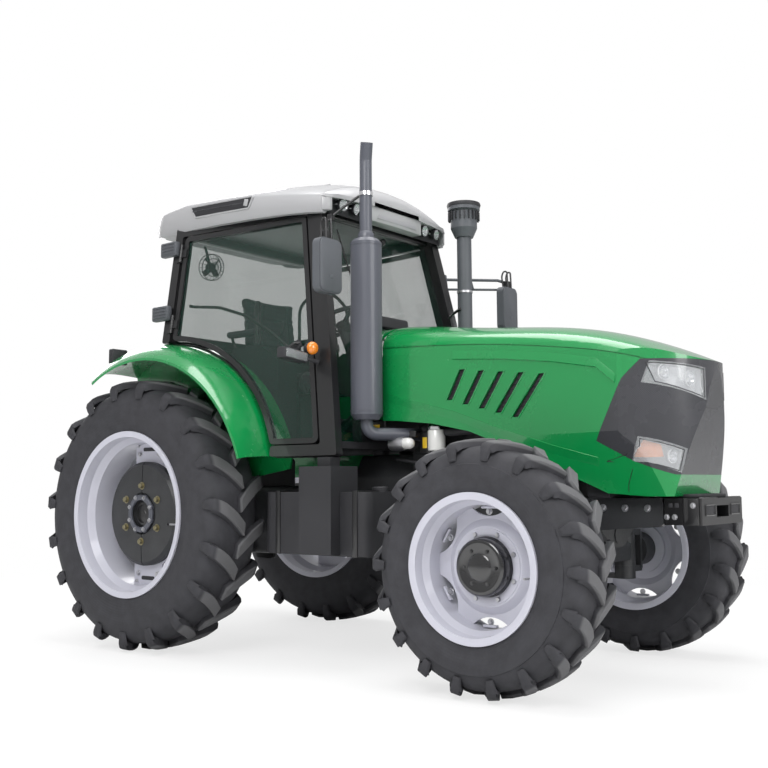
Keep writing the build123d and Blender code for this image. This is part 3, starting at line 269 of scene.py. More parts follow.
def moulded(colour, rough=0.5, grain=420.0, depth=0.0005, specular=0.4):
    """Moulded plastic or rubber with a leather-like grain."""
    def make(name):
        f = Finish(name)
        cells = f.node("ShaderNodeTexVoronoi", {"feature": "DISTANCE_TO_EDGE"},
                       {"Vector": f.place(), "Scale": grain})
        broad = f.noise(4.0, 3.0)
        shade = f.mix(broad.above(0.5, 0.3) * 0.6, colour, tuple(c * 1.35 + 0.004 for c in colour))
        return f.end(colour=shade, rough=rough + broad * 0.12, specular=specular,
                     normal=f.bump(cells, depth, 0.3))
    return make


def cast(colour, rough=0.45):
    """Painted casting: rough skin and tone that changes in patches."""
    def make(name):
        f = Finish(name)
        skin = f.noise(75.0, 5.0, rough=0.65)
        broad = f.noise(6.0, 4.0)
        shade = f.mix(broad.above(0.52, 0.18) * 0.55, colour, tuple(c * 1.6 + 0.006 for c in colour))
        return f.end(colour=shade, rough=rough + skin * 0.2, coat=0.25, coat_rough=0.25,
                     normal=f.bump(skin, bpy.context.scene.tractor_sizes.bump_depth, 0.5))
    return make


def glazed(colour, alpha=0.3, rough=0.03, streak=0.1):
    """Tinted glass with faint wiping streaks."""
    def make(name):
        f = Finish(name)
        streaks = f.noise(5.0, 4.0, f.place(scale=(1, 1, 0.25), turn=(0, 0.5, 0)))
        return f.end(colour=f.mix(streaks, colour, tuple(c * 0.7 for c in colour)),
                     rough=rough + streaks * 0.04, alpha=alpha + streaks * streak, ior=1.5, specular=0.8,
                     coat=1.0, coat_rough=0.02)
    return make


def tyre_rubber(axle_x, axle_z, tread_r):
    """Tyre rubber: smooth dark walls, lug faces painted paler (partly wear, partly a painted highlight), rings
    moulded round the wall.
    """
    def make(name):
        f = Finish(name)
        local = f.place((axle_x, 0, axle_z))
        split = f.node("ShaderNodeSeparateXYZ", None, {"Vector": local})
        z_out = Value(f, split.socket.node.outputs[2])
        radius = (split * split + z_out * z_out) ** 0.5
        # the lug faces, painted paler: partly wear, partly a painted highlight on the tops
        top = radius.above(tread_r - 0.016, 0.005)
        rings = ((radius * 420.0).math("SINE") * 0.5 + 0.5) * (1 - radius.above(tread_r - 0.16, 0.03))
        mottled = f.noise(14.0, 5.0, rough=0.6)
        fine = f.noise(230.0, 3.0)
        dark = f.mix(mottled.above(0.5, 0.3), chosen("tyres"),
                     tuple(c * 1.6 for c in chosen("tyres")))
        # painted highlight and wear: the lug faces mixed towards pale grey
        shade = f.mix(top * 0.75, dark, (0.135, 0.135, 0.14))
        low = f.bump(rings, 0.0006, 0.5)
        return f.end(colour=shade, rough=0.62 + mottled * 0.2, specular=0.35,
                     normal=f.bump(fine, 0.0009, 0.35, low))
    return make


def perforated(colour, pitch=0.011):
    """Glossy moulded mesh: rows of holes over the front and the sides, painted near-black as painted shade inside
    the openings.
    """
    def make(name):
        f = Finish(name)
        turns = 2 * math.pi / pitch
        place = f.node("ShaderNodeSeparateXYZ", None, {"Vector": f.place(scale=(turns, turns, turns))})
        sides, up = (Value(f, place.socket.node.outputs[index]) for index in (1, 2))
        across = (place + sides).math("SINE")
        holes = (across * up.math("SINE")).above(0.35, 0.12)
        broad = f.noise(6.0, 4.0)
        shade = f.mix(broad.above(0.5, 0.2) * 0.4, colour, tuple(c * 1.6 for c in colour))
        # painted shade: the holes are coloured near-black for the dark inside the openings
        shade = f.mix(holes, shade, (0.006, 0.006, 0.007))
        return f.end(colour=shade, rough=0.22 + broad * 0.1 + holes * 0.4, coat=0.6 - holes * 0.6,
                     coat_rough=0.08,
                     normal=f.bump(1 - holes, 0.0008, 0.4))
    return make


def woven(colour, pitch=520.0):
    """Woven seat cloth with crossing threads."""
    def make(name):
        f = Finish(name)
        place = f.place()
        across = f.node("ShaderNodeTexWave", {"bands_direction": "X"}, {"Vector": place, "Scale": pitch / 6.0})
        along = f.node("ShaderNodeTexWave", {"bands_direction": "Y"}, {"Vector": place, "Scale": pitch / 6.0})
        weave = across * along
        broad = f.noise(16.0, 4.0)
        base = chosen(colour)
        shade = f.mix(weave, tuple(c * 0.55 for c in base), base)
        shade = f.mix(broad.above(0.55, 0.2) * 0.35, shade, tuple(c * 1.5 for c in base))
        return f.end(colour=shade, rough=0.88, sheen=0.25, normal=f.bump(weave, 0.0008, 0.5))
    return make


FINISHES = {
    "green_paint": painted("body"),
    "black_paint": painted((0.010, 0.010, 0.011), rough=0.32, coat=0.3),
    "roof_plastic": painted("roof", rough=0.35, coat=0.3),
    "casting": cast((0.016, 0.017, 0.019)),
    "rim_paint": painted("rims", rough=0.36, coat=0.35, dust=0.12),
    "silencer_paint": painted((0.075, 0.08, 0.10), rough=0.42, coat=0.25),
    "dark_plastic": moulded((0.022, 0.022, 0.025)),
    "grey_plastic": moulded((0.075, 0.08, 0.09), rough=0.42),
    "grille_plastic": perforated((0.040, 0.041, 0.048)),
    "seat_cloth": woven("seat"),
    "glass": glazed((0.010, 0.050, 0.034), alpha=0.24, rough=0.0, streak=0.04),
    "steel": metal((0.52, 0.52, 0.54)),
    "chrome": metal((0.82, 0.82, 0.84), rough=0.12),
    "worn_brass": metal((0.30, 0.27, 0.17), rough=0.4),
    "gloss_black": painted((0.006, 0.006, 0.007), rough=0.16),
    "roof_shade": painted((0.30, 0.30, 0.315), rough=0.4, coat=0.2),
    "silver_plastic": painted((0.62, 0.62, 0.64), rough=0.25, coat=0.6),
    "lamp_glow": painted((0.85, 0.85, 0.82), rough=0.15),
    "filter_white": painted((0.72, 0.72, 0.70), rough=0.3),
    "yellow_plate": painted((0.80, 0.52, 0.02), rough=0.3),
    "red_lens": painted((0.45, 0.01, 0.01), rough=0.15),
    "glass_black": painted((0.004, 0.004, 0.005), rough=0.08),
    "lens": glazed((0.75, 0.78, 0.8), alpha=0.25),
    "amber": painted((0.75, 0.22, 0.01), rough=0.2),
    "rear_rubber": tyre_rubber(REAR_AXLE_X, REAR_RADIUS, REAR_RADIUS),
    "front_rubber": tyre_rubber(FRONT_AXLE_X, FRONT_RADIUS, FRONT_RADIUS),
}

CAD_FINISH = {
    "green_paint": ["hood_shell", "fenders", "cowl"],
    "roof_plastic": ["cab_roof"],
    "casting": ["engine_block", "transmission_case", "rear_axle_housing", "front_axle_beam", "front_support",
                "knuckle_left", "knuckle_right", "wheel_weight_left", "wheel_weight_right"],
    "rim_paint": ["front_rim_left", "front_rim_right", "rear_rim_left", "rear_rim_right"],
    "silencer_paint": ["exhaust_stack"],
    "grille_plastic": ["grille"],
    "glass": ["door_glass_left", "door_glass_right", "windscreen", "rear_window"],
    "lens": ["headlights", "work_lamps"],
    "amber": ["tail_lamps"],
    "seat_cloth": ["seat_cushion", "seat_backrest"],
    "grey_plastic": ["mirrors", "air_intake"],
    "dark_plastic": ["dashboard", "side_console", "steering_wheel", "side_tanks", "cab_floor", "seat_base",
                     "radiator"],
    "steel": ["steering_rod", "pto_shaft"],
    "black_paint": ["steps"],
    "rear_rubber": ["rear_tyre_left", "rear_tyre_right"],
    "front_rubber": ["front_tyre_left", "front_tyre_right"],
}


# Shapes

ORDER = {"x": (2, 0, 1), "y": (0, 2, 1), "z": (0, 1, 2)}


def rounded_path(path, corner, steps=6):
    """The path's points with each corner eased over the length given."""
    path = [Vector(point) for point in path]
    if not corner:
        return path
    eased = [path[0]]
    for before, here, after in zip(path, path[1:], path[2:]):
        start = here + (before - here).normalized() * min(corner, (before - here).length / 2)
        end = here + (after - here).normalized() * min(corner, (after - here).length / 2)
        for step in range(steps + 1):
            t = step / steps
            eased.append(start * (1 - t) ** 2 + here * 2 * t * (1 - t) + end * t ** 2)
    eased.append(path[-1])
    return eased


def round_outline(points, radius, steps=4):
    """A closed outline with eased corners."""
    points = [Vector(point) for point in points]
    eased = []
    for index, here in enumerate(points):
        before, after = points[index - 1], points[(index + 1) % len(points)]
        start = here + (before - here).normalized() * min(radius, (before - here).length * 0.49)
        end = here + (after - here).normalized() * min(radius, (after - here).length * 0.49)
        for step in range(steps + 1):
            t = step / steps
            eased.append(tuple(start * (1 - t) ** 2 + here * 2 * t * (1 - t) + end * t ** 2))
    return eased


class Shape:
    """One piece's mesh while it is made. Lengths are millimetres from the rear axle's middle."""

    def __init__(self, name, first="black_paint"):
        self.name = name
        self.mesh = bmesh.new()
        self.finishes = []
        self.use(first)

    def use(self, name):
        """The forms that follow take this finish."""
        if name not in self.finishes:
            self.finishes.append(name)
        self.slot = self.finishes.index(name)
        return self

    def take(self, part):
        """Add a small mesh and give it the finish in use."""
        for face in part.faces:
            face.material_index = self.slot
            face.smooth = True
        mesh = bpy.data.meshes.new("form")
        part.to_mesh(mesh)
        part.free()
        self.mesh.from_mesh(mesh)
        bpy.data.meshes.remove(mesh)

    def form(self, points, faces, bevel=0.0, segments=2):
        """Add one closed form from its corners and faces."""
        part = bmesh.new()
        corners = [part.verts.new(point) for point in points]
        for face in faces:
            part.faces.new([corners[index] for index in face])
        bmesh.ops.remove_doubles(part, verts=part.verts, dist=0.001)
        bmesh.ops.recalc_face_normals(part, faces=part.faces)
        if bevel:
            edges = [edge for edge in part.edges if edge.is_manifold and edge.calc_face_angle() > 0.6]
            bmesh.ops.bevel(part, geom=edges, offset=bevel, segments=segments, profile=0.5, affect="EDGES",
                            clamp_overlap=True)
        self.take(part)

    def prism(self, outline, low, high, along="y", bevel=1.5):
        """A straight form over an outline: of (x, z) along y, (y, z) along x or (x, y) along z."""
        count = len(outline)
        points = []
        for level in (low, high):
            for point in outline:
                given = (*point, level)
                points.append([given[place] for place in ORDER[along]])
        faces = [list(range(count)), list(range(count, 2 * count))]
        for index in range(count):
            after = (index + 1) % count
            faces.append([index, after, after + count, index + count])
        self.form(points, faces, bevel)

    def block(self, centre, size, bevel=2.0, turn=None):
        """A box with eased edges, turned about its middle."""
        points = []
        for x in (-0.5, 0.5):
            for y in (-0.5, 0.5):
                for z in (-0.5, 0.5):
                    point = Vector((x * size[0], y * size[1], z * size[2]))
                    if turn:
                        point.rotate(turn)
                    points.append(point + Vector(centre))
        self.form(points, [(0, 1, 3, 2), (4, 6, 7, 5), (0, 4, 5, 1), (2, 3, 7, 6), (0, 2, 6, 4), (1, 5, 7, 3)],
                  bevel)

    def lathe(self, profile, centre, axis=(0, 1, 0), steps=48, bevel=0.0, phase=0.0):
        """A closed profile of (along, radius) turned round an axis."""
        turn = Vector((0, 0, 1)).rotation_difference(Vector(axis))
        points = []
        for step in range(steps):
            angle = 2 * math.pi * step / steps + phase
            for along, radius in profile:
                point = Vector((radius * math.cos(angle), radius * math.sin(angle), along))
                point.rotate(turn)
                points.append(point + Vector(centre))
        count = len(profile)
        faces = []
        for step in range(steps):
            here, there = step * count, (step + 1) % steps * count
            for index in range(count):
                after = (index + 1) % count
                if profile[index][1] or profile[after][1]:
                    faces.append((here + index, here + after, there + after, there + index))
        self.form(points, faces, bevel)

    def tube(self, path, radius, sides=12, corner=0.0, flat=1.0):
        """A round bar along a path, with closed ends."""
        path = rounded_path(path, corner)
        ahead = (path[1] - path[0]).normalized()
        across = ahead.orthogonal().normalized()
        points = []
        for index, here in enumerate(path):
            before, after = path[max(index - 1, 0)], path[min(index + 1, len(path) - 1)]
            along = (after - before).normalized()
            across.rotate(ahead.rotation_difference(along))
            ahead = along
            side = ahead.cross(across)
            for step in range(sides):
                angle = 2 * math.pi * step / sides
                points.append(here + (across * math.cos(angle) + side * math.sin(angle) * flat) * radius)
        last = (len(path) - 1) * sides
        faces = [list(range(sides)), list(range(last, last + sides))]
        for index in range(len(path) - 1):
            for step in range(sides):
                after = (step + 1) % sides
                start = index * sides
                faces.append((start + step, start + after, start + sides + after, start + sides + step))
        self.form(points, faces)

    def bolt(self, centre, axis, radius=9.0, height=7.0):
        """A hexagon head on its washer."""
        self.lathe([(-1, 0), (-1, radius * 1.45), (1.6, radius * 1.45), (1.6, 0)], centre, axis, 16)
        self.lathe([(1.6, 0), (1.6, radius), (height * 0.82, radius), (height, radius * 0.84), (height, 0)],
                   centre, axis, 6)

    def repeat(self, make, count, centre=(0, 0, 0), step=(0, 0, 0), axis=(0, 1, 0), turn=0.0, start=0.0):
        """Copies of a small shape, made about the origin, each moved and turned from the last one."""
        pattern = Shape("pattern", self.finishes[self.slot])
        make(pattern)
        mesh = bpy.data.meshes.new("pattern")
        pattern.mesh.to_mesh(mesh)
        pattern.mesh.free()
        holder = bpy.data.objects.new("pattern", mesh)
        bpy.context.scene.collection.objects.link(holder)
        modifier = holder.modifiers.new("repeat", "NODES")
        tree = repeat_tree()
        modifier.node_group = tree
        sockets = {item.name: item.identifier for item in tree.interface.items_tree if item.in_out == "INPUT"}
        given = {"Count": count, "Step": step, "Axis": axis, "Turn": turn, "Start": start, "Centre": centre,
                 "Finish": finish(self.finishes[self.slot])}
        for label, value in given.items():
            modifier[sockets[label]] = value
        made = bpy.data.meshes.new_from_object(holder.evaluated_get(bpy.context.evaluated_depsgraph_get()))
        part = bmesh.new()
        part.from_mesh(made)
        self.take(part)
        bpy.data.objects.remove(holder)
        for spent in (mesh, made):
            bpy.data.meshes.remove(spent)

    def mirror(self):
        """Add the same forms on the other side."""
        part = self.mesh.copy()
        bmesh.ops.scale(part, vec=(1, -1, 1), verts=part.verts)
        bmesh.ops.reverse_faces(part, faces=part.faces)
        mesh = bpy.data.meshes.new("form")
        part.to_mesh(mesh)
        part.free()
        self.mesh.from_mesh(mesh)
        bpy.data.meshes.remove(mesh)
        return self

    def done(self, body, name=None, side=1, sharp=38.0):
        """Make the object, in metres at the origin, riding on its body; side -1 makes it on the other side."""
        part = self.mesh.copy()
        bmesh.ops.scale(part, vec=(0.001, 0.001 * side, 0.001), verts=part.verts)
        bmesh.ops.translate(part, vec=(REAR_AXLE_X, 0, 0), verts=part.verts)
        if side < 0:
            bmesh.ops.reverse_faces(part, faces=part.faces)
        mesh = bpy.data.meshes.new(name or self.name)
        part.to_mesh(mesh)
        part.free()
        for used in self.finishes:
            mesh.materials.append(finish(used))
        mesh.set_sharp_from_angle(angle=math.radians(sharp))
        obj = bpy.data.objects.new(name or self.name, mesh)
        bpy.context.scene.collection.objects.link(obj)
        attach(obj, body)
        return obj

    def done_both(self, body):
        """The same piece on the right and on the left body."""
        return [self.done(body + "_right", self.name + "_right", -1),
                self.done(body + "_left", self.name + "_left")]


def repeat_tree():
    """The node tree that repeats a shape with a fixed step and turn, made once."""
    if "repeat" in bpy.data.node_groups:
        return bpy.data.node_groups["repeat"]
    tree = bpy.data.node_groups.new("repeat", "GeometryNodeTree")
    wanted = (("Shape", "Geometry", None), ("Count", "Int", 6), ("Step", "Vector", (0, 0, 0)),
              ("Axis", "Vector", (0, 1, 0)), ("Turn", "Float", 0.0), ("Start", "Float", 0.0),
              ("Centre", "Vector", (0, 0, 0)), ("Finish", "Material", None))
    for label, kind, default in wanted:
        socket = tree.interface.new_socket(label, in_out="INPUT", socket_type="NodeSocket" + kind)
        if default is not None:
            socket.default_value = default
    tree.interface.new_socket("Shape", in_out="OUTPUT", socket_type="NodeSocketGeometry")

    def node(kind, settings=None, **links):
        made = tree.nodes.new(kind)
        for key, setting in (settings or {}).items():
            setattr(made, key, setting)
        for key, source in links.items():
            place = int(key[1:]) if key[0] == "n" and key[1:].isdigit() else key.replace("_", " ")
            tree.links.new(source, made.inputs[place])
        return made

    given = node("NodeGroupInput").outputs
    index = node("GeometryNodeInputIndex").outputs[0]
    place = node("ShaderNodeVectorMath", {"operation": "SCALE"}, n0=given["Step"], Scale=index).outputs[0]
    points = node("GeometryNodePoints", None, Count=given["Count"], Position=place).outputs[0]
    turned = node("ShaderNodeMath", {"operation": "MULTIPLY_ADD"}, n0=index, n1=given["Turn"], n2=given["Start"])
    rotation = node("FunctionNodeAxisAngleToRotation", None, Axis=given["Axis"],
                    Angle=turned.outputs[0]).outputs[0]
    copies = node("GeometryNodeInstanceOnPoints", None, Points=points, Instance=given["Shape"], Rotation=rotation)
    real = node("GeometryNodeRealizeInstances", None, Geometry=copies.outputs[0]).outputs[0]
    moved = node("GeometryNodeTransform", None, Geometry=real, Translation=given["Centre"]).outputs[0]
    painted_over = node("GeometryNodeSetMaterial", None, Geometry=moved, Material=given["Finish"]).outputs[0]
    tree.links.new(painted_over, node("NodeGroupOutput").inputs[0])
    return tree


# Wheels

class Wheel:
    """The sizes of a wheel's own tyre, taken from the frame."""

    def __init__(self, end, bead, rim_half):
        low, high = box_mm(end + "_tyre_left")
        self.end = end
        self.radius = (high.x - low.x) / 2
        self.half = (high.y - low.y) / 2
        self.x, self.y, self.z = (high + low) / 2
        self.bead = bead
        self.rim_half = rim_half

    def centre(self, out=0.0):
        return (self.x, self.y + out, self.z)

    def wall(self, lug):
        """The carcass from the middle of the crown down to the bead, as (radius, half width)."""
        crown, half, bead = self.radius - lug, self.half, self.bead
        rise = self.radius - bead
        return [(crown, 0), (crown - 3, half * 0.33), (crown - 10, half * 0.58), (crown - 26, half * 0.76),
                (crown - 52, half * 0.88), (crown - 88, half * 0.95), (bead + rise * 0.56, half * 0.985),
                (bead + rise * 0.42, half * 0.99), (bead + rise * 0.3, half * 0.97),
                (bead + rise * 0.2, half * 0.92), (bead + rise * 0.12, self.rim_half + 2),
                (bead + 16, self.rim_half - 6), (bead + 1, self.rim_half - 10),
                (bead + 1, self.rim_half - 40), (bead + rise * 0.4, half * 0.86)]


# Radius of the bead, then half the width over the rim's flanges, in millimetres
REAR = Wheel("rear", 482.6, 210.0 * 0.935)
FRONT = Wheel("front", 330.2, 167.5 * 0.93)


def tyre_lug(wheel, height):
    """One bar of the tread: from just past the middle, slanting back to the shoulder and down the wall."""
    radius, half = wheel.radius, wheel.half
    wide = radius * 0.031 + 12
    # radius of the bar's top, place across as a share of half the tyre's width, half the bar's own width
    stations = [(radius, -0.07, wide), (radius, 0.16, wide * 1.03), (radius - 2, 0.38, wide * 1.04),
                (radius - 5, 0.58, wide), (radius - 11, 0.76, wide * 0.96), (radius - 24, 0.91, wide * 0.9),
                (radius - height * 1.25, 0.975, wide * 0.84), (radius - height * 2.1, 0.997, wide * 0.7),
                (radius - height * 3.1, 0.995, wide * 0.5)]

    def make(shape):
        points = []
        for index, (top, across, spread) in enumerate(stations):
            across *= half
            back = -(abs(across) * 1.02 - across * across * 0.36 / half) * (1 if across > 0 else -1)
            on_wall = index > 5
            base, inset = (top, 15) if on_wall else (top - height - 6, 0)
            for level, reach, extra in ((top, across, 0), (base, across - inset, 7 + height * 0.1)):
                for side in (-1, 1):
                    angle = (back + side * (spread + extra)) / radius
                    points.append((level * math.sin(angle), reach, level * math.cos(angle)))
        faces = [(0, 1, 3, 2)]
        for index in range(len(stations) - 1):
            a, b = index * 4, index * 4 + 4
            faces += [(a, a + 1, b + 1, b), (a + 2, b + 2, b + 3, a + 3), (a, b, b + 2, a + 2),
                      (a + 1, a + 3, b + 3, b + 1)]
        last = len(points) - 4
        faces.append((last, last + 2, last + 3, last + 1))
        shape.form(points, faces, 2.5, 1)
    return make


def mirrored_make(make):
    """The same small shape on the other side of the wheel's middle plane."""
    def other(shape):
        make(shape)
        bmesh.ops.scale(shape.mesh, vec=(1, -1, 1), verts=shape.mesh.verts)
        bmesh.ops.reverse_faces(shape.mesh, faces=shape.mesh.faces)
    return other


class TRACTOR_OT_tyres(bpy.types.Operator):
    """Four tyres with slanting bars, staggered from one half of the tread to the other"""

    bl_idname = "tractor.tyres"
    bl_label = "Tyres"

    def execute(self, context):
        sizes = context.scene.tractor_sizes
        for wheel, count, height in ((REAR, sizes.rear_bars, sizes.rear_bar_height * 1000),
                                     (FRONT, sizes.front_bars, sizes.front_bar_height * 1000)):
            shape = Shape(wheel.end + "_tyre_tread", wheel.end + "_rubber")
            side = wheel.wall(height)
            profile = [(y, r) for r, y in side]
            profile += [(-y, r) for r, y in reversed(side[1:])]
            shape.lathe(profile, wheel.centre(), steps=120)
            make = tyre_lug(wheel, height)
            turn = 2 * math.pi / count
            shape.repeat(make, count, wheel.centre(), turn=turn)
            shape.repeat(mirrored_make(make), count, wheel.centre(), turn=turn, start=turn / 2)
            for side_name, side in (("left", 1), ("right", -1)):
                piece = shape.done(wheel.end + "_wheel_" + side_name, shape.name + "_" + side_name, side)
                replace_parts(piece, wheel.end + "_tyre_" + side_name)
        return {"FINISHED"}


def ring_of(make, reach):
    """A small shape moved out along z, so that turns about y carry it round a wheel."""
    def out(shape):
        make(shape)
        bmesh.ops.translate(shape.mesh, vec=(0, 0, reach), verts=shape.mesh.verts)
    return out


def head(radius, height):
    """A hexagon head facing +y about the origin."""
    return lambda shape: shape.bolt((0, 0, 0), (0, 1, 0), radius, height)


class TRACTOR_OT_rear_wheel_fittings(bpy.types.Operator):
    """Bolts, clamp ring, hub cap, ear slots and valve of the rear wheels; the ear slots are thin dark plates,
    painted shade for their openings
    """

    bl_idname = "tractor.rear_wheel_fittings"
    bl_label = "Rear wheel fittings"

    def execute(self, context):
        shape = Shape("rear_wheel_fittings", "steel")
        face = 72.3  # the weight's outer face beyond the tyre's middle plane
        x, y, z = REAR.centre()
        sixth = math.pi / 3
        shape.use("worn_brass")
        shape.repeat(ring_of(head(17, 20), 172), 6, (x, y + face, z), turn=sixth)
        shape.use("silencer_paint")
        shape.lathe([(0, 84), (0, 116), (10, 116), (16, 108), (16, 88), (12, 84)], (x, y + face, z), steps=64,
                    bevel=1.5)
        shape.repeat(ring_of(lambda s: s.lathe([(0, 0), (0, 20), (14, 20), (18, 15), (18, 0)], (0, 0, 0),
                                               steps=20), 104),
                     8, (x, y + face, z), turn=math.pi / 4, start=math.pi / 8)
        shape.use("steel")
        shape.repeat(ring_of(head(9, 9), 104), 8, (x, y + face + 18, z), turn=math.pi / 4, start=math.pi / 8)
        shape.use("black_paint")
        shape.lathe([(54, 0), (54, 62), (50, 74), (-30, 74), (-30, 84), (60, 84), (64, 78), (64, 58), (40, 50),
                     (40, 0)],
                    (x, y, z), steps=64)
        shape.lathe([(40, 0), (40, 26), (50, 26), (56, 18), (56, 0)], (x, y, z), steps=6)
        for up in (1, -1):
            # ear slots: thin dark plates on the disc, painted shade standing for the openings
            shape.use("dark_plastic")
            shape.prism(round_outline([(x - 62, z + up * 388), (x + 62, z + up * 388), (x + 62, z + up * 412),
                                       (x - 62, z + up * 412)], 11), y + 13, y + 15.2, bevel=0.6)
            shape.use("steel")
            for side in (-1, 1):
                shape.bolt((x + side * 92, y + 14, z + up * 372), (0, 1, 0), 13, 13)
                shape.bolt((x + side * 106, y + 14, z + up * 424), (0, 1, 0), 10, 10)
        shape.use("roof_plastic")
        shape.tube([(x + 410, y + 120, z - 60), (x + 400, y + 150, z - 58), (x + 388, y + 182, z - 56)], 6,
                   corner=10)
        shape.use("black_paint")
        shape.tube([(x + 388, y + 182, z - 56), (x + 384, y + 196, z - 55)], 7.5)
        shape.done_both("rear_wheel")
        return {"FINISHED"}


class TRACTOR_OT_front_wheel_fittings(bpy.types.Operator):
    """Hub cap, bolts, lobe bolts, rim rings and valve of the front wheels"""

    bl_idname = "tractor.front_wheel_fittings"
    bl_label = "Front wheel fittings"

    def execute(self, context):
        shape = Shape("front_wheel_fittings", "gloss_black")
        x, y, z = FRONT.centre()
        shape.lathe([(13, 60), (13, 142), (20, 145), (30, 141), (34, 136.5), (76, 136.5), (84, 131), (88.5, 122),
                     (88.5, 108), (85.5, 104), (85.5, 66), (89, 62), (92, 54), (92, 0), (60, 0)],
                    (x, y, z), steps=72)
        shape.repeat(ring_of(head(7, 6), 86), 6, (x, y + 85.5, z), turn=math.pi / 3, start=math.pi / 6)
        shape.use("steel")
        shape.repeat(ring_of(head(12, 15), 163), 8, (x, y + 14, z), turn=math.pi / 4, start=math.pi / 8)
        shape.repeat(ring_of(head(12, 14), 262), 6, (x, y - 10, z), turn=math.pi / 3)
        shape.use("rim_paint")
        shape.lathe([(13, 146), (13, 184), (17, 182), (18, 176), (18, 152), (16, 148)], (x, y, z), steps=72)
        reach = FRONT.bead - 6
        for offset in (118, 134):
            shape.lathe([(offset, reach + 2), (offset, reach - 3), (offset + 5, reach - 3),
                         (offset + 5, reach + 2)],
                        (x, y, z), steps=96)
        for turn in range(6):
            angle = turn * math.pi / 3
            shape.block((x + 281 * math.sin(angle), y - 8, z + 281 * math.cos(angle)), (74, 26, 12), 3,
                        Quaternion((0, 1, 0), angle))
        shape.use("roof_plastic")
        shape.tube([(x + 278, y + 70, z - 40), (x + 270, y + 96, z - 38), (x + 262, y + 122, z - 38)], 5.5,
                   corner=10)
        shape.done_both("front_wheel")
        return {"FINISHED"}


# Places on the frame's skin

BESIDE, AHEAD, BEHIND = 2500, 5000, -2000  # where lines towards a skin start, clear of the tractor
BEFORE_GLASS = 3000


def on_skin(nodes, start, ahead):
    """Where a line from start first meets one of these nodes of the frame, and which way its skin faces there."""
    for name in nodes.split():
        hit, place, normal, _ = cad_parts[name].ray_cast(at(*start), Vector(ahead))
        if hit:
            return in_mm(place), normal
    raise RuntimeError(f"nothing of {nodes} ahead of {start}")


def side_points(node, outline, lift=0.0, side=1):
    """Points of (x, z) laid on a node's side, lifted off its skin."""
    laid = []
    for x, z in outline:
        place, normal = on_skin(node, (x, side * BESIDE, z), (0, -side, 0))
        laid.append(place + normal * lift)
    return laid


def front_points(nodes, outline, lift=0.0):
    """Points of (y, z) laid on the front of these nodes, lifted off their skin."""
    laid = []
    for y, z in outline:
        place, normal = on_skin(nodes, (AHEAD, y, z), (-1, 0, 0))
        laid.append(place + normal * lift)
    return laid


def between(points, steps):
    """The same line of points with more points between them."""
    points = [Vector(point) for point in points]
    line = []
    for here, there in zip(points, points[1:]):
        line += [tuple(here.lerp(there, step / steps)) for step in range(steps)]
    return [*line, tuple(points[-1])]


def strip(shape, rows, depth=3.0, ring=False):
    """A skin over rows of points, closed by the same rows sunk along their normals; a ring closes on itself."""
    wide = len(rows[0])
    lower = []
    for index, row in enumerate(rows):
        before, after = rows[max(index - 1, 0)], rows[min(index + 1, len(rows) - 1)]
        sunk = []
        for place, point in enumerate(row):
            left, right = row[max(place - 1, 0)], row[min(place + 1, wide - 1)]
            normal = (after[place] - before[place]).cross(right - left).normalized()
            sunk.append(point - normal * depth)
        lower.append(sunk)
    points = [point for row in rows + lower for point in row]
    size = len(rows) * wide
    faces = []
    for index in range(len(rows) - 1):
        for place in range(wide - 1):
            a = index * wide + place
            b = a + wide
            faces += [(a, b, b + 1, a + 1), (size + a, size + a + 1, size + b + 1, size + b)]
    for index in range(0 if ring else len(rows) - 1):
        for a in (index * wide, index * wide + wide - 1):
            faces.append((a, a + wide, size + a + wide, size + a))
    last = size - wide
    for place in range(wide - 1):
        for a in (place, last + place):
            faces.append((a, a + 1, size + a + 1, size + a))
    shape.form(points, faces)


# Hood

NOSE = "headlights grille hood_shell"
LOUVRE_TOPS = [(2082, 1629), (2205.5, 1615), (2329, 1601), (2452.5, 1587), (2576, 1573)]
LOUVRE_LOWS = [(1994, 1465), (2098, 1437), (2202, 1409), (2306, 1381), (2410, 1353)]
LOUVRE_SLATS = 9


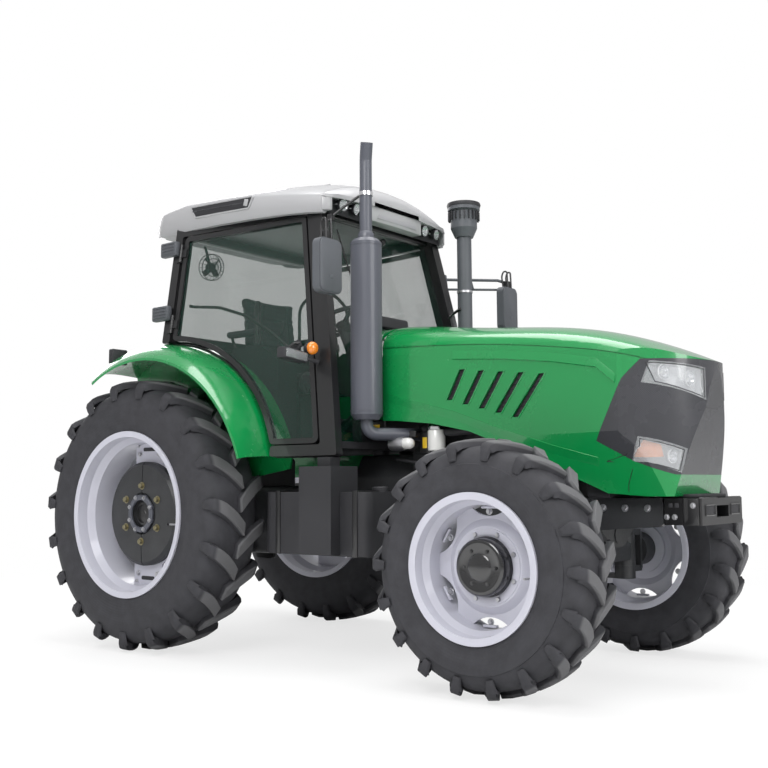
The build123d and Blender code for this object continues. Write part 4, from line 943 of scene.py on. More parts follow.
class TRACTOR_OT_hood_trim(bpy.types.Operator):
    """Louvres with their slats and raised edges, pressed creases and seams of the hood"""

    bl_idname = "tractor.hood_trim"
    bl_label = "Hood trim"

    def execute(self, context):
        shape = Shape("hood_trim", "dark_plastic")
        for top, low in zip(LOUVRE_TOPS, LOUVRE_LOWS):
            outline = [(top[0] + 3, top[1] + 4), (low[0] + 3, low[1] - 4), (low[0] - 42, low[1] - 4),
                       (top[0] - 42, top[1] + 4)]
            middle = Vector(top).lerp(Vector(low), 0.5)
            place, _ = on_skin("hood_shell", (middle.x + 14, BESIDE, middle.y), (0, -1, 0))
            shape.prism(outline, place.y - 22, place.y - 17, bevel=0)
            slant = Vector(low) - Vector(top)
            for step in range(LOUVRE_SLATS):
                level = Vector(top) + slant * ((step + 0.5) / LOUVRE_SLATS)
                shape.block((level.x - 19, place.y - 13, level.y), (36, 7, 3), 0.6)
        shape.use("green_paint")
        for top, low in zip(LOUVRE_TOPS, LOUVRE_LOWS):
            edge = between([(top[0] + 5, top[1] + 5), (low[0] + 5, low[1] - 5)], 6)
            shape.tube(side_points("hood_shell", edge, 0.5), 3.6, 8)
            back = between([(top[0] - 43, top[1] + 5), (low[0] - 43, low[1] - 5)], 6)
            shape.tube(side_points("hood_shell", back, -0.5), 2.6, 8)
        for line, rise, spread in (
                ([(1560, 1520), (1750, 1470), (2000, 1405), (2300, 1300), (2600, 1205), (2850, 1135)], 5.0, -60),
                ([(2000, 1690), (2300, 1668), (2600, 1632), (2860, 1585), (2960, 1500)], 3.5, 46)):
            rows = []
            for x, z in between(line, 5):
                row = []
                for part, lift in ((0.0, -1.5), (0.04, rise), (0.35, rise * 0.55), (0.7, rise * 0.15),
                                   (1.0, -1.5)):
                    row += side_points("hood_shell", [(x, z + spread * part)], lift)
                rows.append(row)
            strip(shape, rows)
        shape.use("black_paint")
        for line in ([(3020, 1075), (2990, 1000), (2986, 962)],
                     [(1512, 1640), (1512, 1500), (1512, 1392)]):
            shape.tube(side_points("hood_shell", between(line, 4), -0.4), 2.0, 6)
        shape.mirror()
        shape.done("hood")
        return {"FINISHED"}


def bowl(shape, place, facing, radius, depth):
    """A lamp: a chromed bowl with its bulb, facing along a direction."""
    back = place - facing * depth
    shape.use("chrome")
    shape.lathe([(0, 0), (0, radius * 0.5), (depth * 0.45, radius * 0.86), (depth * 0.9, radius),
                 (depth * 0.94, radius - 2), (depth * 0.45, radius * 0.82), (4, radius * 0.42), (4, 0)],
                back, facing, 32)
    shape.use("lamp_glow")
    shape.lathe([(4, 0), (4, radius * 0.2), (depth * 0.5, radius * 0.2), (depth * 0.62, radius * 0.12),
                 (depth * 0.64, 0)], back, facing, 16)
    shape.use("silver_plastic")
    shape.lathe([(depth * 0.8, radius), (depth * 0.8, radius + 5), (depth, radius + 5), (depth + 2, radius + 2),
                 (depth * 0.95, radius)], back, facing, 32)


class TRACTOR_OT_lamp_pods(bpy.types.Operator):
    """Housings, bowls and bulbs behind the four lamp covers in the grille"""

    bl_idname = "tractor.lamp_pods"
    bl_label = "Lamp pods"

    def execute(self, context):
        shape = Shape("lamp_pods", "silver_plastic")
        zones = (([(-366, 1594), (-345, 1499), (-240, 1458), (-130, 1422), (-130, 1565), (-250, 1582)],
                  ((-312, 1546, 36), (-198, 1516, 38))),
                 ([(-381, 1222), (-250, 1165), (-272, 1062), (-384, 1112)], ((-290, 1132, 30),)))
        for outline, lamps in zones:
            rows = []
            centre = sum((Vector(point) for point in outline), Vector((0, 0))) / len(outline)
            ring = between([*outline, outline[0]], 3)[:-1]
            for scale, lift in ((0.97, -17.5), (0.93, -30), (0.86, -46), (0.5, -50), (0.02, -50)):
                rows.append(front_points(NOSE, [tuple(centre + (Vector(p) - centre) * scale)
                                                        for p in (*ring, ring[0])], lift))
            shape.use("silver_plastic")
            strip(shape, rows, 2.0, True)
            for y, z, radius in lamps:
                place, normal = on_skin(NOSE, (AHEAD, y, z), (-1, 0, 0))
                facing = (normal + Vector((1.2, 0, 0))).normalized()
                bowl(shape, place - normal * 19, facing, radius, 34)
            edge = [tuple(centre + (Vector(p) - centre) * 0.985) for p in (*ring, ring[0])]
            shape.use("dark_plastic")
            shape.tube(front_points(NOSE, edge, -0.3), 2.6, 6)
        shape.use("amber")
        wedge = ([(-374, 1214), (-330, 1190)], [(-376, 1128), (-322, 1132)])
        rows = [front_points(NOSE, between(side, 4), -17) for side in wedge]
        strip(shape, rows, 5.0)
        shape.mirror()
        shape.done("hood")
        return {"FINISHED"}


# Cab

ROOF_SECTIONS = [
    # along, half width, low edge, side edge, crown
    (-292, 520, 2752, 2770, 2796), (-284, 590, 2712, 2778, 2816), (-240, 640, 2668, 2792, 2842),
    (-140, 676, 2652, 2810, 2872), (100, 702, 2648, 2822, 2908), (420, 707, 2642, 2806, 2928),
    (720, 702, 2632, 2782, 2929), (960, 684, 2622, 2752, 2914), (1120, 662, 2612, 2732, 2886),
    (1222, 632, 2606, 2718, 2854)]
ROOF_UNDERSIDE = 2684
BROW_SECTIONS = [(1212, 634, 2700, 2719, 2857), (1240, 620, 2698, 2714, 2844), (1281, 546, 2702, 2710, 2812),
                 (1300, 396, 2708, 2714, 2790), (1308, 230, 2716, 2722, 2772)]


def crown_ring(x, half, low, edge, top, underside):
    """One section of the roof: its skirt, its side, its arched crown and its underside."""
    right = [(half - 60, underside), (half - 52, low + 12), (half - 36, low), (half - 12, low + 4),
             (half - 3, low + 20),
             (half, (low + edge) / 2), (half - 2, edge - 12), (half - 10, edge)]
    for part in (0.93, 0.82, 0.68, 0.5, 0.26):
        right.append((half * part, edge + (top - edge) * (1 - part ** 2.3)))
    ring = right + [(0, top)] + [(-y, z) for y, z in reversed(right)]
    return [Vector((x, y, z)) for y, z in ring]


def loft(shape, rings, bevel=0.0):
    """A closed form over rings of equally many points."""
    count = len(rings[0])
    faces = [list(range(count)), list(range(count * (len(rings) - 1), count * len(rings)))]
    for index in range(len(rings) - 1):
        for place in range(count):
            after = (place + 1) % count
            start = index * count
            faces.append((start + place, start + after, start + count + after, start + count + place))
    shape.form([point for ring in rings for point in ring], faces, bevel)


class TRACTOR_OT_roof(bpy.types.Operator):
    """The arched roof with its side vents, lamp pockets and two small domes"""

    bl_idname = "tractor.roof"
    bl_label = "Roof"

    def execute(self, context):
        shape = Shape("roof_skin", "roof_plastic")
        loft(shape, [crown_ring(*section, ROOF_UNDERSIDE) for section in ROOF_SECTIONS])
        loft(shape, [crown_ring(*section, section[2] + 4) for section in BROW_SECTIONS])
        lip = [(1216, -272), (1297, -272), (1304, -130), (1305, 0), (1304, 130), (1297, 272), (1216, 272)]
        shape.prism(lip, 2618, 2724, "z", 9)
        shape.use("roof_shade")
        shape.prism([(-200, 2640), (200, 2640), (180, 2668), (-180, 2668)], 1302, 1306.5, "x", 1)
        for side in (-1, 1):
            shape.use("roof_plastic")
            outline = [(1216, side * 572), (1262, side * 572), (1246, side * 606), (1216, side * 630)]
            shape.prism(outline, 2622, 2712, "z", 6)
            shape.use("dark_plastic")
            shape.block((1223.5, side * 420, 2668), (3, 300, 100), 0.5)
            shape.prism([(172, 2790), (214, 2730), (684, 2712), (722, 2768)], side * 699, side * 708.6, bevel=1)
            shape.use("roof_plastic")
            frame_line = [(166, 2797), (206, 2722), (692, 2704), (730, 2773), (166, 2797)]
            shape.tube([(x, side * 704, z) for x, z in frame_line], 6.5, 8, 12)
            shape.use("grille_plastic")
            for step in range(5):
                x0, z0 = 226 + step * 92, 2763 - step * 4
                shape.block((x0, side * 707, z0), (86, 8, 7), 1.5, Quaternion((0, 1, 0), 0.05))
            shape.use("roof_plastic")
            shape.block((672, side * 709, 2742), (34, 6, 44), 3, Quaternion((0, 1, 0), 0.3))
        shape.use("roof_shade")
        for y in (-250, 250):
            shape.tube([(x, y, z) for x, z in ((-200, 2852), (100, 2898), (420, 2915), (720, 2915),
                                               (960, 2900))], 9, 8, 40)
        shape.use("dark_plastic")
        for x, y, z in ((20, -470, 2866), (560, 0, 2926)):
            shape.lathe([(0, 0), (0, 34), (10, 34), (16, 22), (30, 18), (36, 9), (37, 0)], (x, y, z - 6),
                        (0, 0, 1), 24)
        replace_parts(shape.done("chassis"), "cab_roof")
        return {"FINISHED"}


def lamp(shape, centre, facing, radius, depth, body="dark_plastic"):
    """A round lamp: its body, chromed bowl, bulb and domed glass."""
    back = Vector(centre) - Vector(facing) * depth
    shape.use(body)
    shape.lathe([(0, 0), (0, radius * 0.6), (depth * 0.5, radius), (depth, radius), (depth, radius - 4),
                 (depth * 0.5, radius - 4), (4, radius * 0.5), (4, 0)], back, facing, 28)
    shape.use("chrome")
    shape.lathe([(depth * 0.3, 0), (depth * 0.3, radius * 0.3), (depth * 0.9, radius - 5),
                 (depth * 0.86, radius - 5),
                 (depth * 0.25, radius * 0.3), (depth * 0.25, 0)], back, facing, 28)
    shape.use("lamp_glow")
    shape.lathe([(depth * 0.3, 0), (depth * 0.3, radius * 0.16), (depth * 0.62, radius * 0.16), (depth * 0.7, 0)],
                back, facing, 12)
    shape.use("lens")
    shape.lathe([(depth * 0.93, 0), (depth * 0.93, radius - 4), (depth, radius - 4), (depth + 3, radius * 0.6),
                 (depth + 4, 0)], back, facing, 28)


class TRACTOR_OT_cab_lamps(bpy.types.Operator):
    """Four work lamps in the roof, indicators, marker boxes on their arms and the tail lamp clusters"""

    bl_idname = "tractor.cab_lamps"
    bl_label = "Cab lamps"

    def execute(self, context):
        roof = Shape("roof_work_lamps")
        for y in (350, 480):
            lamp(roof, (1271, y, 2670), Vector((0.97, 0.12 if y > 400 else 0.03, -0.2)).normalized(), 39, 44)
            roof.use("steel")
            roof.tube([(1232, y - 44, 2672), (1246, y - 44, 2672), (1250, y + 44, 2672), (1232, y + 44, 2672)],
                      4, 8, 6)
        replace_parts(roof.mirror().done("chassis"), "work_lamps")
        marker = Shape("front_markers", "dark_plastic")
        marker.tube([(1290, 735, 1700), (1280, 800, 1712), (1262, 850, 1722)], 13, 12, 30)
        marker.block((1252, 905, 1728), (66, 196, 66), 12, Quaternion((1, 0, 0), 0.1))
        marker.use("lens")
        marker.block((1286, 905, 1728), (8, 170, 48), 4, Quaternion((1, 0, 0), 0.1))
        marker.use("dark_plastic")
        marker.lathe([(-34, 0), (-34, 34), (-6, 38), (6, 38), (6, 0)], (1292, 790, 1775), (1, 0.25, 0), 28)
        marker.use("amber")
        marker.lathe([(6, 0), (6, 37), (20, 34), (30, 22), (34, 0)], (1292, 790, 1775), (1, 0.25, 0), 28)
        marker.mirror().done("chassis")
        low, high = box_mm("tail_lamps")
        x, y, z = low.x, high.y - 60, (low.z + high.z) / 2
        for side, name in ((1, "left"), (-1, "right")):
            tail = Shape("tail_cluster", "dark_plastic")
            tail.block((x + 30, y, z), (46, 118, 100), 9)
            for place, colour in ((-34, "red_lens"), (2, "amber"), (36, "lens")):
                tail.use(colour)
                tail.block((x + 5, y + place, z), (8, 33, 84), 3)
            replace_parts(tail.done("chassis", "tail_cluster_" + name, side), "tail_lamps")
        return {"FINISHED"}


STACK = (1500, -555)  # x and y of the silencer's axis
INTAKE = (1474, 505)  # and of the intake's


class TRACTOR_OT_cab_outside(bpy.types.Operator):
    """Mirror glasses and brackets, the stack's clamp and struts, the intake's cap and bands, and the wiper"""

    bl_idname = "tractor.cab_outside"
    bl_label = "Cab outside"

    def execute(self, context):
        shape = Shape("mirror_fittings", "grey_plastic")
        shape.prism(round_outline([(846, 2046), (1020, 2046), (1020, 2334), (846, 2334)], 42), 1558, 1566, "x", 4)
        shape.block((1567, 933, 2130), (4, 24, 24), 2)
        shape.use("chrome")
        shape.prism(round_outline([(856, 2056), (1010, 2056), (1010, 2324), (856, 2324)], 36), 1505.5, 1510.5,
                    "x", 1)
        shape.use("black_paint")
        shape.block((1533, 938, 2362), (34, 44, 52), 6)
        for across in ((912, 905, 908, 915, 918), (962, 958, 958, 960, 962)):
            shape.tube(list(zip((1519, 1512, 1524, 1548, 1552), across, (2340, 2420, 2452, 2452, 2340))),
                       6, 10, 16)
        shape.mirror().done("chassis")

        stack = Shape("stack_fittings", "chrome")
        x, y = STACK
        stack.lathe([(0, 37), (0, 42), (22, 42), (22, 37)], (x, y, 2668), (0, 0, 1), 32)
        stack.block((x - 46, y + 4, 2679), (18, 10, 20), 2)
        stack.use("black_paint")
        stack.tube([(x - 48, y + 2, 2679), (1350, -610, 2600), (1312, -640, 2560)], 8, 10, 20)
        stack.tube([(x - 10, y + 40, 2679), (1360, -420, 2640), (1300, -380, 2625)], 8, 10, 20)
        stack.block((1308, -642, 2556), (34, 30, 40), 4)
        stack.use("silencer_paint")
        for level in (1418, 2372):
            stack.lathe([(0, 90), (0, 93.5), (8, 93.5), (8, 90)], (x, y, level), (0, 0, 1), 48)
        stack.lathe([(0, 34), (0, 47), (30, 47), (44, 38), (44, 34)], (x, y, 2412), (0, 0, 1), 32)
        stack.use("dark_plastic")
        stack.lathe([(0, 60), (0, 108), (14, 112), (26, 108), (26, 60)], (*INTAKE, 2822), (0, 0, 1), 40)
        stack.repeat(lambda s: s.block((98, 0, 0), (14, 5, 60), 1.5), 20, (*INTAKE, 2760), axis=(0, 0, 1),
                     turn=math.pi / 10)
        stack.use("steel")
        for level in (2626, 2250, 1420):
            stack.lathe([(0, 48), (0, 51.5), (14, 51.5), (14, 48)], (*INTAKE, level), (0, 0, 1), 32)
        stack.use("black_paint")
        stack.tube([(1474, 450, 2140), (1400, 480, 2120), (1310, 560, 2110)], 9, 10, 20)
        stack.done("chassis")

        wiper = Shape("windscreen_wiper", "black_paint")
        base, _ = on_skin("windscreen", (BEFORE_GLASS, 60, 2560), (-1, 0, 0))
        tip, normal = on_skin("windscreen", (BEFORE_GLASS, -330, 2300), (-1, 0, 0))
        wiper.lathe([(0, 0), (0, 22), (18, 20), (24, 12), (24, 0)], base + normal, normal, 24)
        wiper.tube([base + normal * 20, base.lerp(tip, 0.4) + normal * 26, tip + normal * 12], 5, 8, 20)
        down = Vector((0.05, 0.06, -0.26)) * 1000
        blade = []
        for part in (-1, -0.5, 0, 0.5, 1):
            point = tip + down * part
            place, _ = on_skin("windscreen", (BEFORE_GLASS, point.y, point.z), (-1, 0, 0))
            blade.append(place + normal * 6)
        wiper.tube(blade, 4.5, 6)
        wiper.done("chassis")
        return {"FINISHED"}


class TRACTOR_OT_doors(bpy.types.Operator):
    """Handles, inner bars and ribbed hinge covers of both doors"""

    bl_idname = "tractor.doors"
    bl_label = "Doors"

    def execute(self, context):
        shape = Shape("door_fittings", "dark_plastic")
        place, normal = on_skin("door_glass_left", (1085, BESIDE, 1790), (0, -1, 0))
        shape.block(place + normal * 9, (150, 22, 52), 8, Quaternion((0, 1, 0), -0.5))
        shape.use("black_paint")
        shape.tube([place + normal * 14 + Vector((-50, 0, -30)), place + normal * 46 + Vector((-30, 0, -18)),
                    place + normal * 46 + Vector((44, 0, 22)), place + normal * 14 + Vector((60, 0, 32))],
                   9, 10, 14)
        shape.use("steel")
        shape.lathe([(0, 0), (0, 13), (6, 12), (8, 8), (8, 0)], place + normal * 19 + Vector((0, 0, -6)),
                    normal, 20)
        shape.use("black_paint")
        inner = []
        for x, z in ((205, 2150), (420, 2125), (650, 2050), (860, 1930), (1040, 1800)):
            point, normal = on_skin("door_glass_left", (x, BESIDE, z), (0, -1, 0))
            inner.append(point - normal * 44)
        shape.tube(inner, 10, 10, 40)
        for end in (inner[0], inner[-1]):
            shape.tube([end, end + Vector((0, 34, 0))], 10, 10)
        shape.done_both("door")
        cover = Shape("hinge_covers", "grey_plastic")
        for z in (2100, 2530):
            point, normal = on_skin("cab_frame", (40, BESIDE, z), (0, -1, 0))
            middle = point + normal * 28 + Vector((-34, 0, 0))
            cover.block(middle, (150, 46, 96), 12)
            for rib in (-30, -10, 10, 30):
                cover.block(middle + normal * 24 + Vector((0, 0, rib)), (120, 8, 8), 2.5)
        cover.mirror().done("chassis")
        return {"FINISHED"}


# Inside the cab

class TRACTOR_OT_cab_inside(bpy.types.Operator):
    """Levers, pedals, grab rail, fan, instrument hood and arm rests"""

    bl_idname = "tractor.cab_inside"
    bl_label = "Cab inside"

    def execute(self, context):
        shape = Shape("cab_controls", "black_paint")
        for x, y, lean, height in ((400, -355, 14, 2170), (450, -385, 6, 2185), (505, -415, 20, 2150),
                                   (600, -330, 24, 2040)):
            shape.use("black_paint")
            shape.tube([(x, y, 1880), (x + 4, y, 1960), (x + lean, y, height - 60)], 6, 8, 20)
            shape.use("dark_plastic")
            shape.lathe([(0, 0), (0, 11), (30, 15), (62, 17), (78, 12), (82, 0)], (x + lean, y, height - 70),
                        (lean / 200, 0, 1), 16)
            shape.lathe([(0, 0), (0, 26), (10, 24), (26, 9), (26, 0)], (x, y, 1884), (0, 0, 1), 20)
        for y in (-180, -90, 130):
            shape.use("black_paint")
            shape.tube([(1130, y, 1500), (1075, y, 1430), (1010, y, 1380)], 9, 8, 20)
            shape.use("dark_plastic")
            shape.block((1000, y, 1372), (26, 72, 84), 4, Quaternion((0, 1, 0), 0.6))
        shape.use("black_paint")
        shape.tube([(60, 440, 1930), (60, 440, 2300), (150, 440, 2370), (400, 440, 2360), (520, 440, 2240),
                    (520, 440, 1700)], 12, 12, 60)
        centre = (70, -440, 2460)
        facing = Vector((0.9, -0.1, -0.2))
        shape.use("dark_plastic")
        shape.lathe([(-30, 0), (-30, 26), (10, 30), (14, 0)], centre, facing, 20)
        for reach, offset in ((88, -14), (88, 22), (60, 30), (34, 34)):
            ring = [(offset - 1.6, reach - 2), (offset - 1.6, reach + 2), (offset + 1.6, reach + 2),
                    (offset + 1.6, reach - 2)]
            shape.lathe(ring, centre, facing, 36)
        fan_axis = facing.normalized()
        side = fan_axis.orthogonal().normalized()
        shape.repeat(lambda s: s.tube([side * 16 + fan_axis * 34, side * 60 + fan_axis * 30,
                                       side * 88 + fan_axis * 20,
                                       side * 90 + fan_axis * 2, side * 86 - fan_axis * 14], 1.6, 5), 20, centre,
                     axis=fan_axis, turn=math.pi / 10)
        shape.repeat(lambda s: s.block(side * 46 + fan_axis * 6, (60, 40, 3), 1,
                                       fan_axis.rotation_difference(side)), 4,
                     centre, axis=fan_axis, turn=math.pi / 2)
        shape.tube([(40, -470, 2600), (50, -455, 2540), (60, -445, 2480)], 9, 8, 20)
        x, _, top = box_mm("dashboard")[1]
        shape.use("dark_plastic")
        shape.prism(round_outline([(x - 330, top - 40), (x - 120, top + 20), (x - 70, top + 14),
                                   (x - 60, top - 60),
                                   (x - 320, top - 70)], 14), -170, 170, bevel=6)
        shape.use("glass_black")
        shape.block((x - 236, 0, top + 1), (96, 250, 5), 2, Quaternion((0, 1, 0), -0.28))
        shape.use("seat_cloth")
        for side in (-1, 1):
            shape.block((250, side * 300, 2010), (300, 62, 44), 18)
        shape.use("black_paint")
        for side in (-1, 1):
            shape.tube([(130, side * 300, 1990), (140, side * 270, 1900), (160, side * 220, 1820)], 10, 8, 30)
        shape.done("chassis")
        return {"FINISHED"}


# Sizes of the seat's pads, in metres
VOXEL = 0.006
SHRINK = 0.012  # how far each side of a pad starts inside its plain one
SWELL_CAP = 0.022
SEAM_HALF = 0.007
SEAM_DEPTH = 0.007

CLOTH_STIFFNESS = 12
CLOTH_PRESSURE = 4.0
CLOTH_FRAMES = 20


def swell(scene, obj):
    """Let a shape's cloth skin swell with inner pressure, no further than the cap."""
    start = [vertex.co.copy() for vertex in obj.data.vertices]
    cloth = obj.modifiers.new("cloth", "CLOTH")
    cloth.settings.quality = 4
    cloth.settings.tension_stiffness = cloth.settings.compression_stiffness = CLOTH_STIFFNESS
    cloth.settings.use_pressure = True
    cloth.settings.uniform_pressure_force = CLOTH_PRESSURE
    cloth.settings.effector_weights.gravity = 0.0
    cloth.collision_settings.use_collision = False
    for step in range(1, CLOTH_FRAMES + 1):
        scene.frame_set(step)
    made = obj.evaluated_get(bpy.context.evaluated_depsgraph_get()).data
    ends = [vertex.co.copy() for vertex in made.vertices]
    obj.modifiers.remove(cloth)
    scene.frame_set(1)
    for vertex, begin, end in zip(obj.data.vertices, start, ends):
        moved = end - begin
        vertex.co = begin + moved.normalized() * min(moved.length, SWELL_CAP) if moved.length else begin


def pad(context, node, seams):
    """A stuffed pad over a plain one of the frame, with sewn channels, as (axis, place), pressed into it."""
    name = node + "_pad"
    part = bmesh.new()
    part.from_mesh(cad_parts[node].data)
    bmesh.ops.remove_doubles(part, verts=part.verts, dist=1e-5)
    low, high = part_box(node)
    middle = (low + high) / 2
    factor = Vector([1 - 2 * SHRINK / (b - a) for a, b in zip(low, high)])
    bmesh.ops.translate(part, vec=-middle, verts=part.verts)
    bmesh.ops.scale(part, vec=factor, verts=part.verts)
    bmesh.ops.translate(part, vec=middle, verts=part.verts)
    mesh = bpy.data.meshes.new(name)
    part.to_mesh(mesh)
    part.free()
    obj = bpy.data.objects.new(name, mesh)
    context.scene.collection.objects.link(obj)
    remesh = obj.modifiers.new("remesh", "REMESH")
    remesh.mode = "VOXEL"
    remesh.voxel_size = VOXEL
    obj.data = bpy.data.meshes.new_from_object(obj.evaluated_get(context.evaluated_depsgraph_get()))
    obj.modifiers.remove(remesh)
    obj.data.name = name
    swell(context.scene, obj)
    obj.data.update()
    normals = [vertex.normal.copy() for vertex in obj.data.vertices]
    for vertex, normal in zip(obj.data.vertices, normals):
        press = max(math.exp(-((vertex.co[axis] - place) / SEAM_HALF) ** 2) for axis, place in seams)
        vertex.co = vertex.co - normal * SEAM_DEPTH * press
    for face in obj.data.polygons:
        face.use_smooth = True
    finer = obj.modifiers.new("finer", "SUBSURF")
    finer.levels = finer.render_levels = 1
    obj.data = bpy.data.meshes.new_from_object(obj.evaluated_get(context.evaluated_depsgraph_get()))
    obj.modifiers.remove(finer)
    obj.data.materials.clear()
    obj.data.materials.append(finish("seat_cloth"))
    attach(obj, "chassis")
    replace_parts(obj, node)


class TRACTOR_OT_seat_pads(bpy.types.Operator):
    """The seat's stuffed cushion and backrest, swollen by a cloth simulation"""

    bl_idname = "tractor.seat_pads"
    bl_label = "Seat pads"

    def execute(self, context):
        low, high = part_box("seat_cushion")
        pad(context, "seat_cushion", [(1, -0.13), (1, 0.13), (0, high.x - 0.14), (0, low.x + 0.12)])
        low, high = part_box("seat_backrest")
        pad(context, "seat_backrest", [(1, -0.13), (1, 0.13), (2, high.z - 0.16), (2, (low.z + high.z) / 2),
                                       (2, low.z + 0.14)])
        return {"FINISHED"}


# Chassis

class TRACTOR_OT_engine_side(bpy.types.Operator):
    """What shows under the hood: filters, pump, hoses, brackets and plain yellow plates"""

    bl_idname = "tractor.engine_side"
    bl_label = "Engine side"

    def execute(self, context):
        shape = Shape("engine_fittings", "filter_white")
        shape.lathe([(0, 0), (0, 44), (6, 50), (112, 50), (122, 44), (122, 0)], (1835, -345, 1190), (0, 0, 1), 32)
        shape.use("chrome")
        shape.lathe([(0, 0), (0, 53), (16, 53), (20, 46), (34, 42), (34, 0)], (1835, -345, 1310), (0, 0, 1), 32)
        shape.use("steel")
        shape.lathe([(0, 0), (0, 40), (60, 44), (96, 36), (96, 0)], (1560, -400, 1236), (1, 0, 0), 28)
        shape.use("filter_white")
        shape.lathe([(0, 0), (0, 33), (30, 33), (50, 24), (58, 10), (58, 0)], (1656, -400, 1236), (1, 0, 0), 28)
        shape.use("yellow_plate")
        shape.block((1475, -440, 1330), (52, 3, 36), 1)
        shape.block((1742, -330, 1240), (30, 3, 62), 1)
        shape.use("black_paint")
        shape.block((1475, -432, 1320), (130, 12, 90), 4)
        shape.block((1742, -322, 1240), (70, 12, 120), 4)
        shape.block((1835, -310, 1340), (150, 60, 22), 5)
        shape.block((1600, -350, 1290), (220, 50, 40), 8)
        for side in (-1, 1):
            shape.use("casting")
            shape.block((2050, side * 262, 1180), (620, 30, 40), 8)
            shape.block((1950, side * 262, 1000), (500, 26, 26), 8)
            shape.lathe([(0, 0), (0, 62), (50, 66), (90, 58), (90, 0)], (2330, side * 262, 1130),
                        (0, side, 0), 32)
            shape.use("steel")
            for x in range(1760, 2400, 90):
                shape.bolt((x, side * 278, 1180), (0, side, 0), 9, 9)
            shape.use("dark_plastic")
            shape.tube([(1720, side * 300, 1320), (1900, side * 330, 1290), (2150, side * 330, 1310),
                        (2420, side * 290, 1250), (2620, side * 280, 1330)], 24, 12, 90)
            shape.tube([(1700, side * 280, 1090), (1950, side * 310, 1060), (2250, side * 300, 1080),
                        (2500, side * 280, 1000)], 13, 10, 60)
            shape.tube([(1540, side * 330, 1150), (1750, side * 350, 1120), (2000, side * 320, 1140)], 9, 8, 60)
        shape.use("steel")
        shape.lathe([(0, 0), (0, 70), (18, 70), (18, 56), (60, 60), (110, 60), (118, 50), (118, 0)],
                    (2320, 300, 1300), (0, 1, 0), 32)
        shape.use("casting")
        shape.lathe([(0, 0), (0, 30), (40, 30), (40, 0)], (1560, -360, 1236), (0, 1, 0), 20)
        shape.done("chassis")
        return {"FINISHED"}


class TRACTOR_OT_front_end(bpy.types.Operator):
    """Holes, teeth and bolts of the front carrier, bolts of the support and hoses of the axle"""

    bl_idname = "tractor.front_end"
    bl_label = "Front end"

    def execute(self, context):
        low, high = box_mm("front_hitch")
        front, half, top = high
        bottom = low.z
        shape = Shape("carrier_fittings", "dark_plastic")
        for side in (-1, 1):
            shape.use("dark_plastic")
            for x in (front - 150, front - 118):
                shape.block((x, side * (half + 0.6), top - 34), (21, 3, 21), 1)
            shape.use("black_paint")
            shape.prism([(front - 60, top - 2), (front - 60, bottom + 30), (front - 92, bottom + 4),
                         (front - 8, bottom + 4), (front - 8, top - 2)], side * (half + 0.2), side * (half + 9))
            shape.use("steel")
            for x, z in ((front - 170, top - 90), (front - 130, top - 90), (front - 34, top - 34)):
                shape.bolt((x, side * (half + (9 if x > front - 60 else 0)), z), (0, side, 0), 10, 9)
            shape.use("dark_plastic")
            shape.block((front + 0.4, side * 168, (top + bottom) / 2 + 8), (2, 118, 46), 4)
            shape.use("black_paint")
            edge = [(-60, -25), (60, -25), (60, 25), (-60, 25), (-60, -25)]
            shape.tube([(front + 0.5, side * 168 + y, (top + bottom) / 2 + 8 + z) for y, z in edge], 4.5, 8, 6)
            shape.repeat(lambda s: s.prism([(-7, -2), (7, -2), (0, 6)], -5, 5, "x", 0.6), 15,
                         (front - 10, side * 60, top),
                         step=(0, side * 15, 0))
            for x in (2200, 2320, 2440, 2800, 2920, 3040):
                place, normal = on_skin("front_support", (x, side * BESIDE, 880), (0, -side, 0))
                shape.use("steel")
                shape.bolt(place, normal, 13, 12)
        shape.use("dark_plastic")
        shape.prism(round_outline([(3070, -190), (3290, -190), (3290, 190), (3070, 190)], 60), top + 0.5,
                    top + 20, "z", 5)
        shape.done("chassis")
        axle = Shape("axle_hoses", "dark_plastic")
        for side in (1, -1):
            axle.tube([(2440, side * 60, 700), (2400, side * 160, 760), (2360, side * 260, 900),
                       (2300, side * 250, 1000)], 9, 8, 60)
        axle.done("chassis")
        return {"FINISHED"}


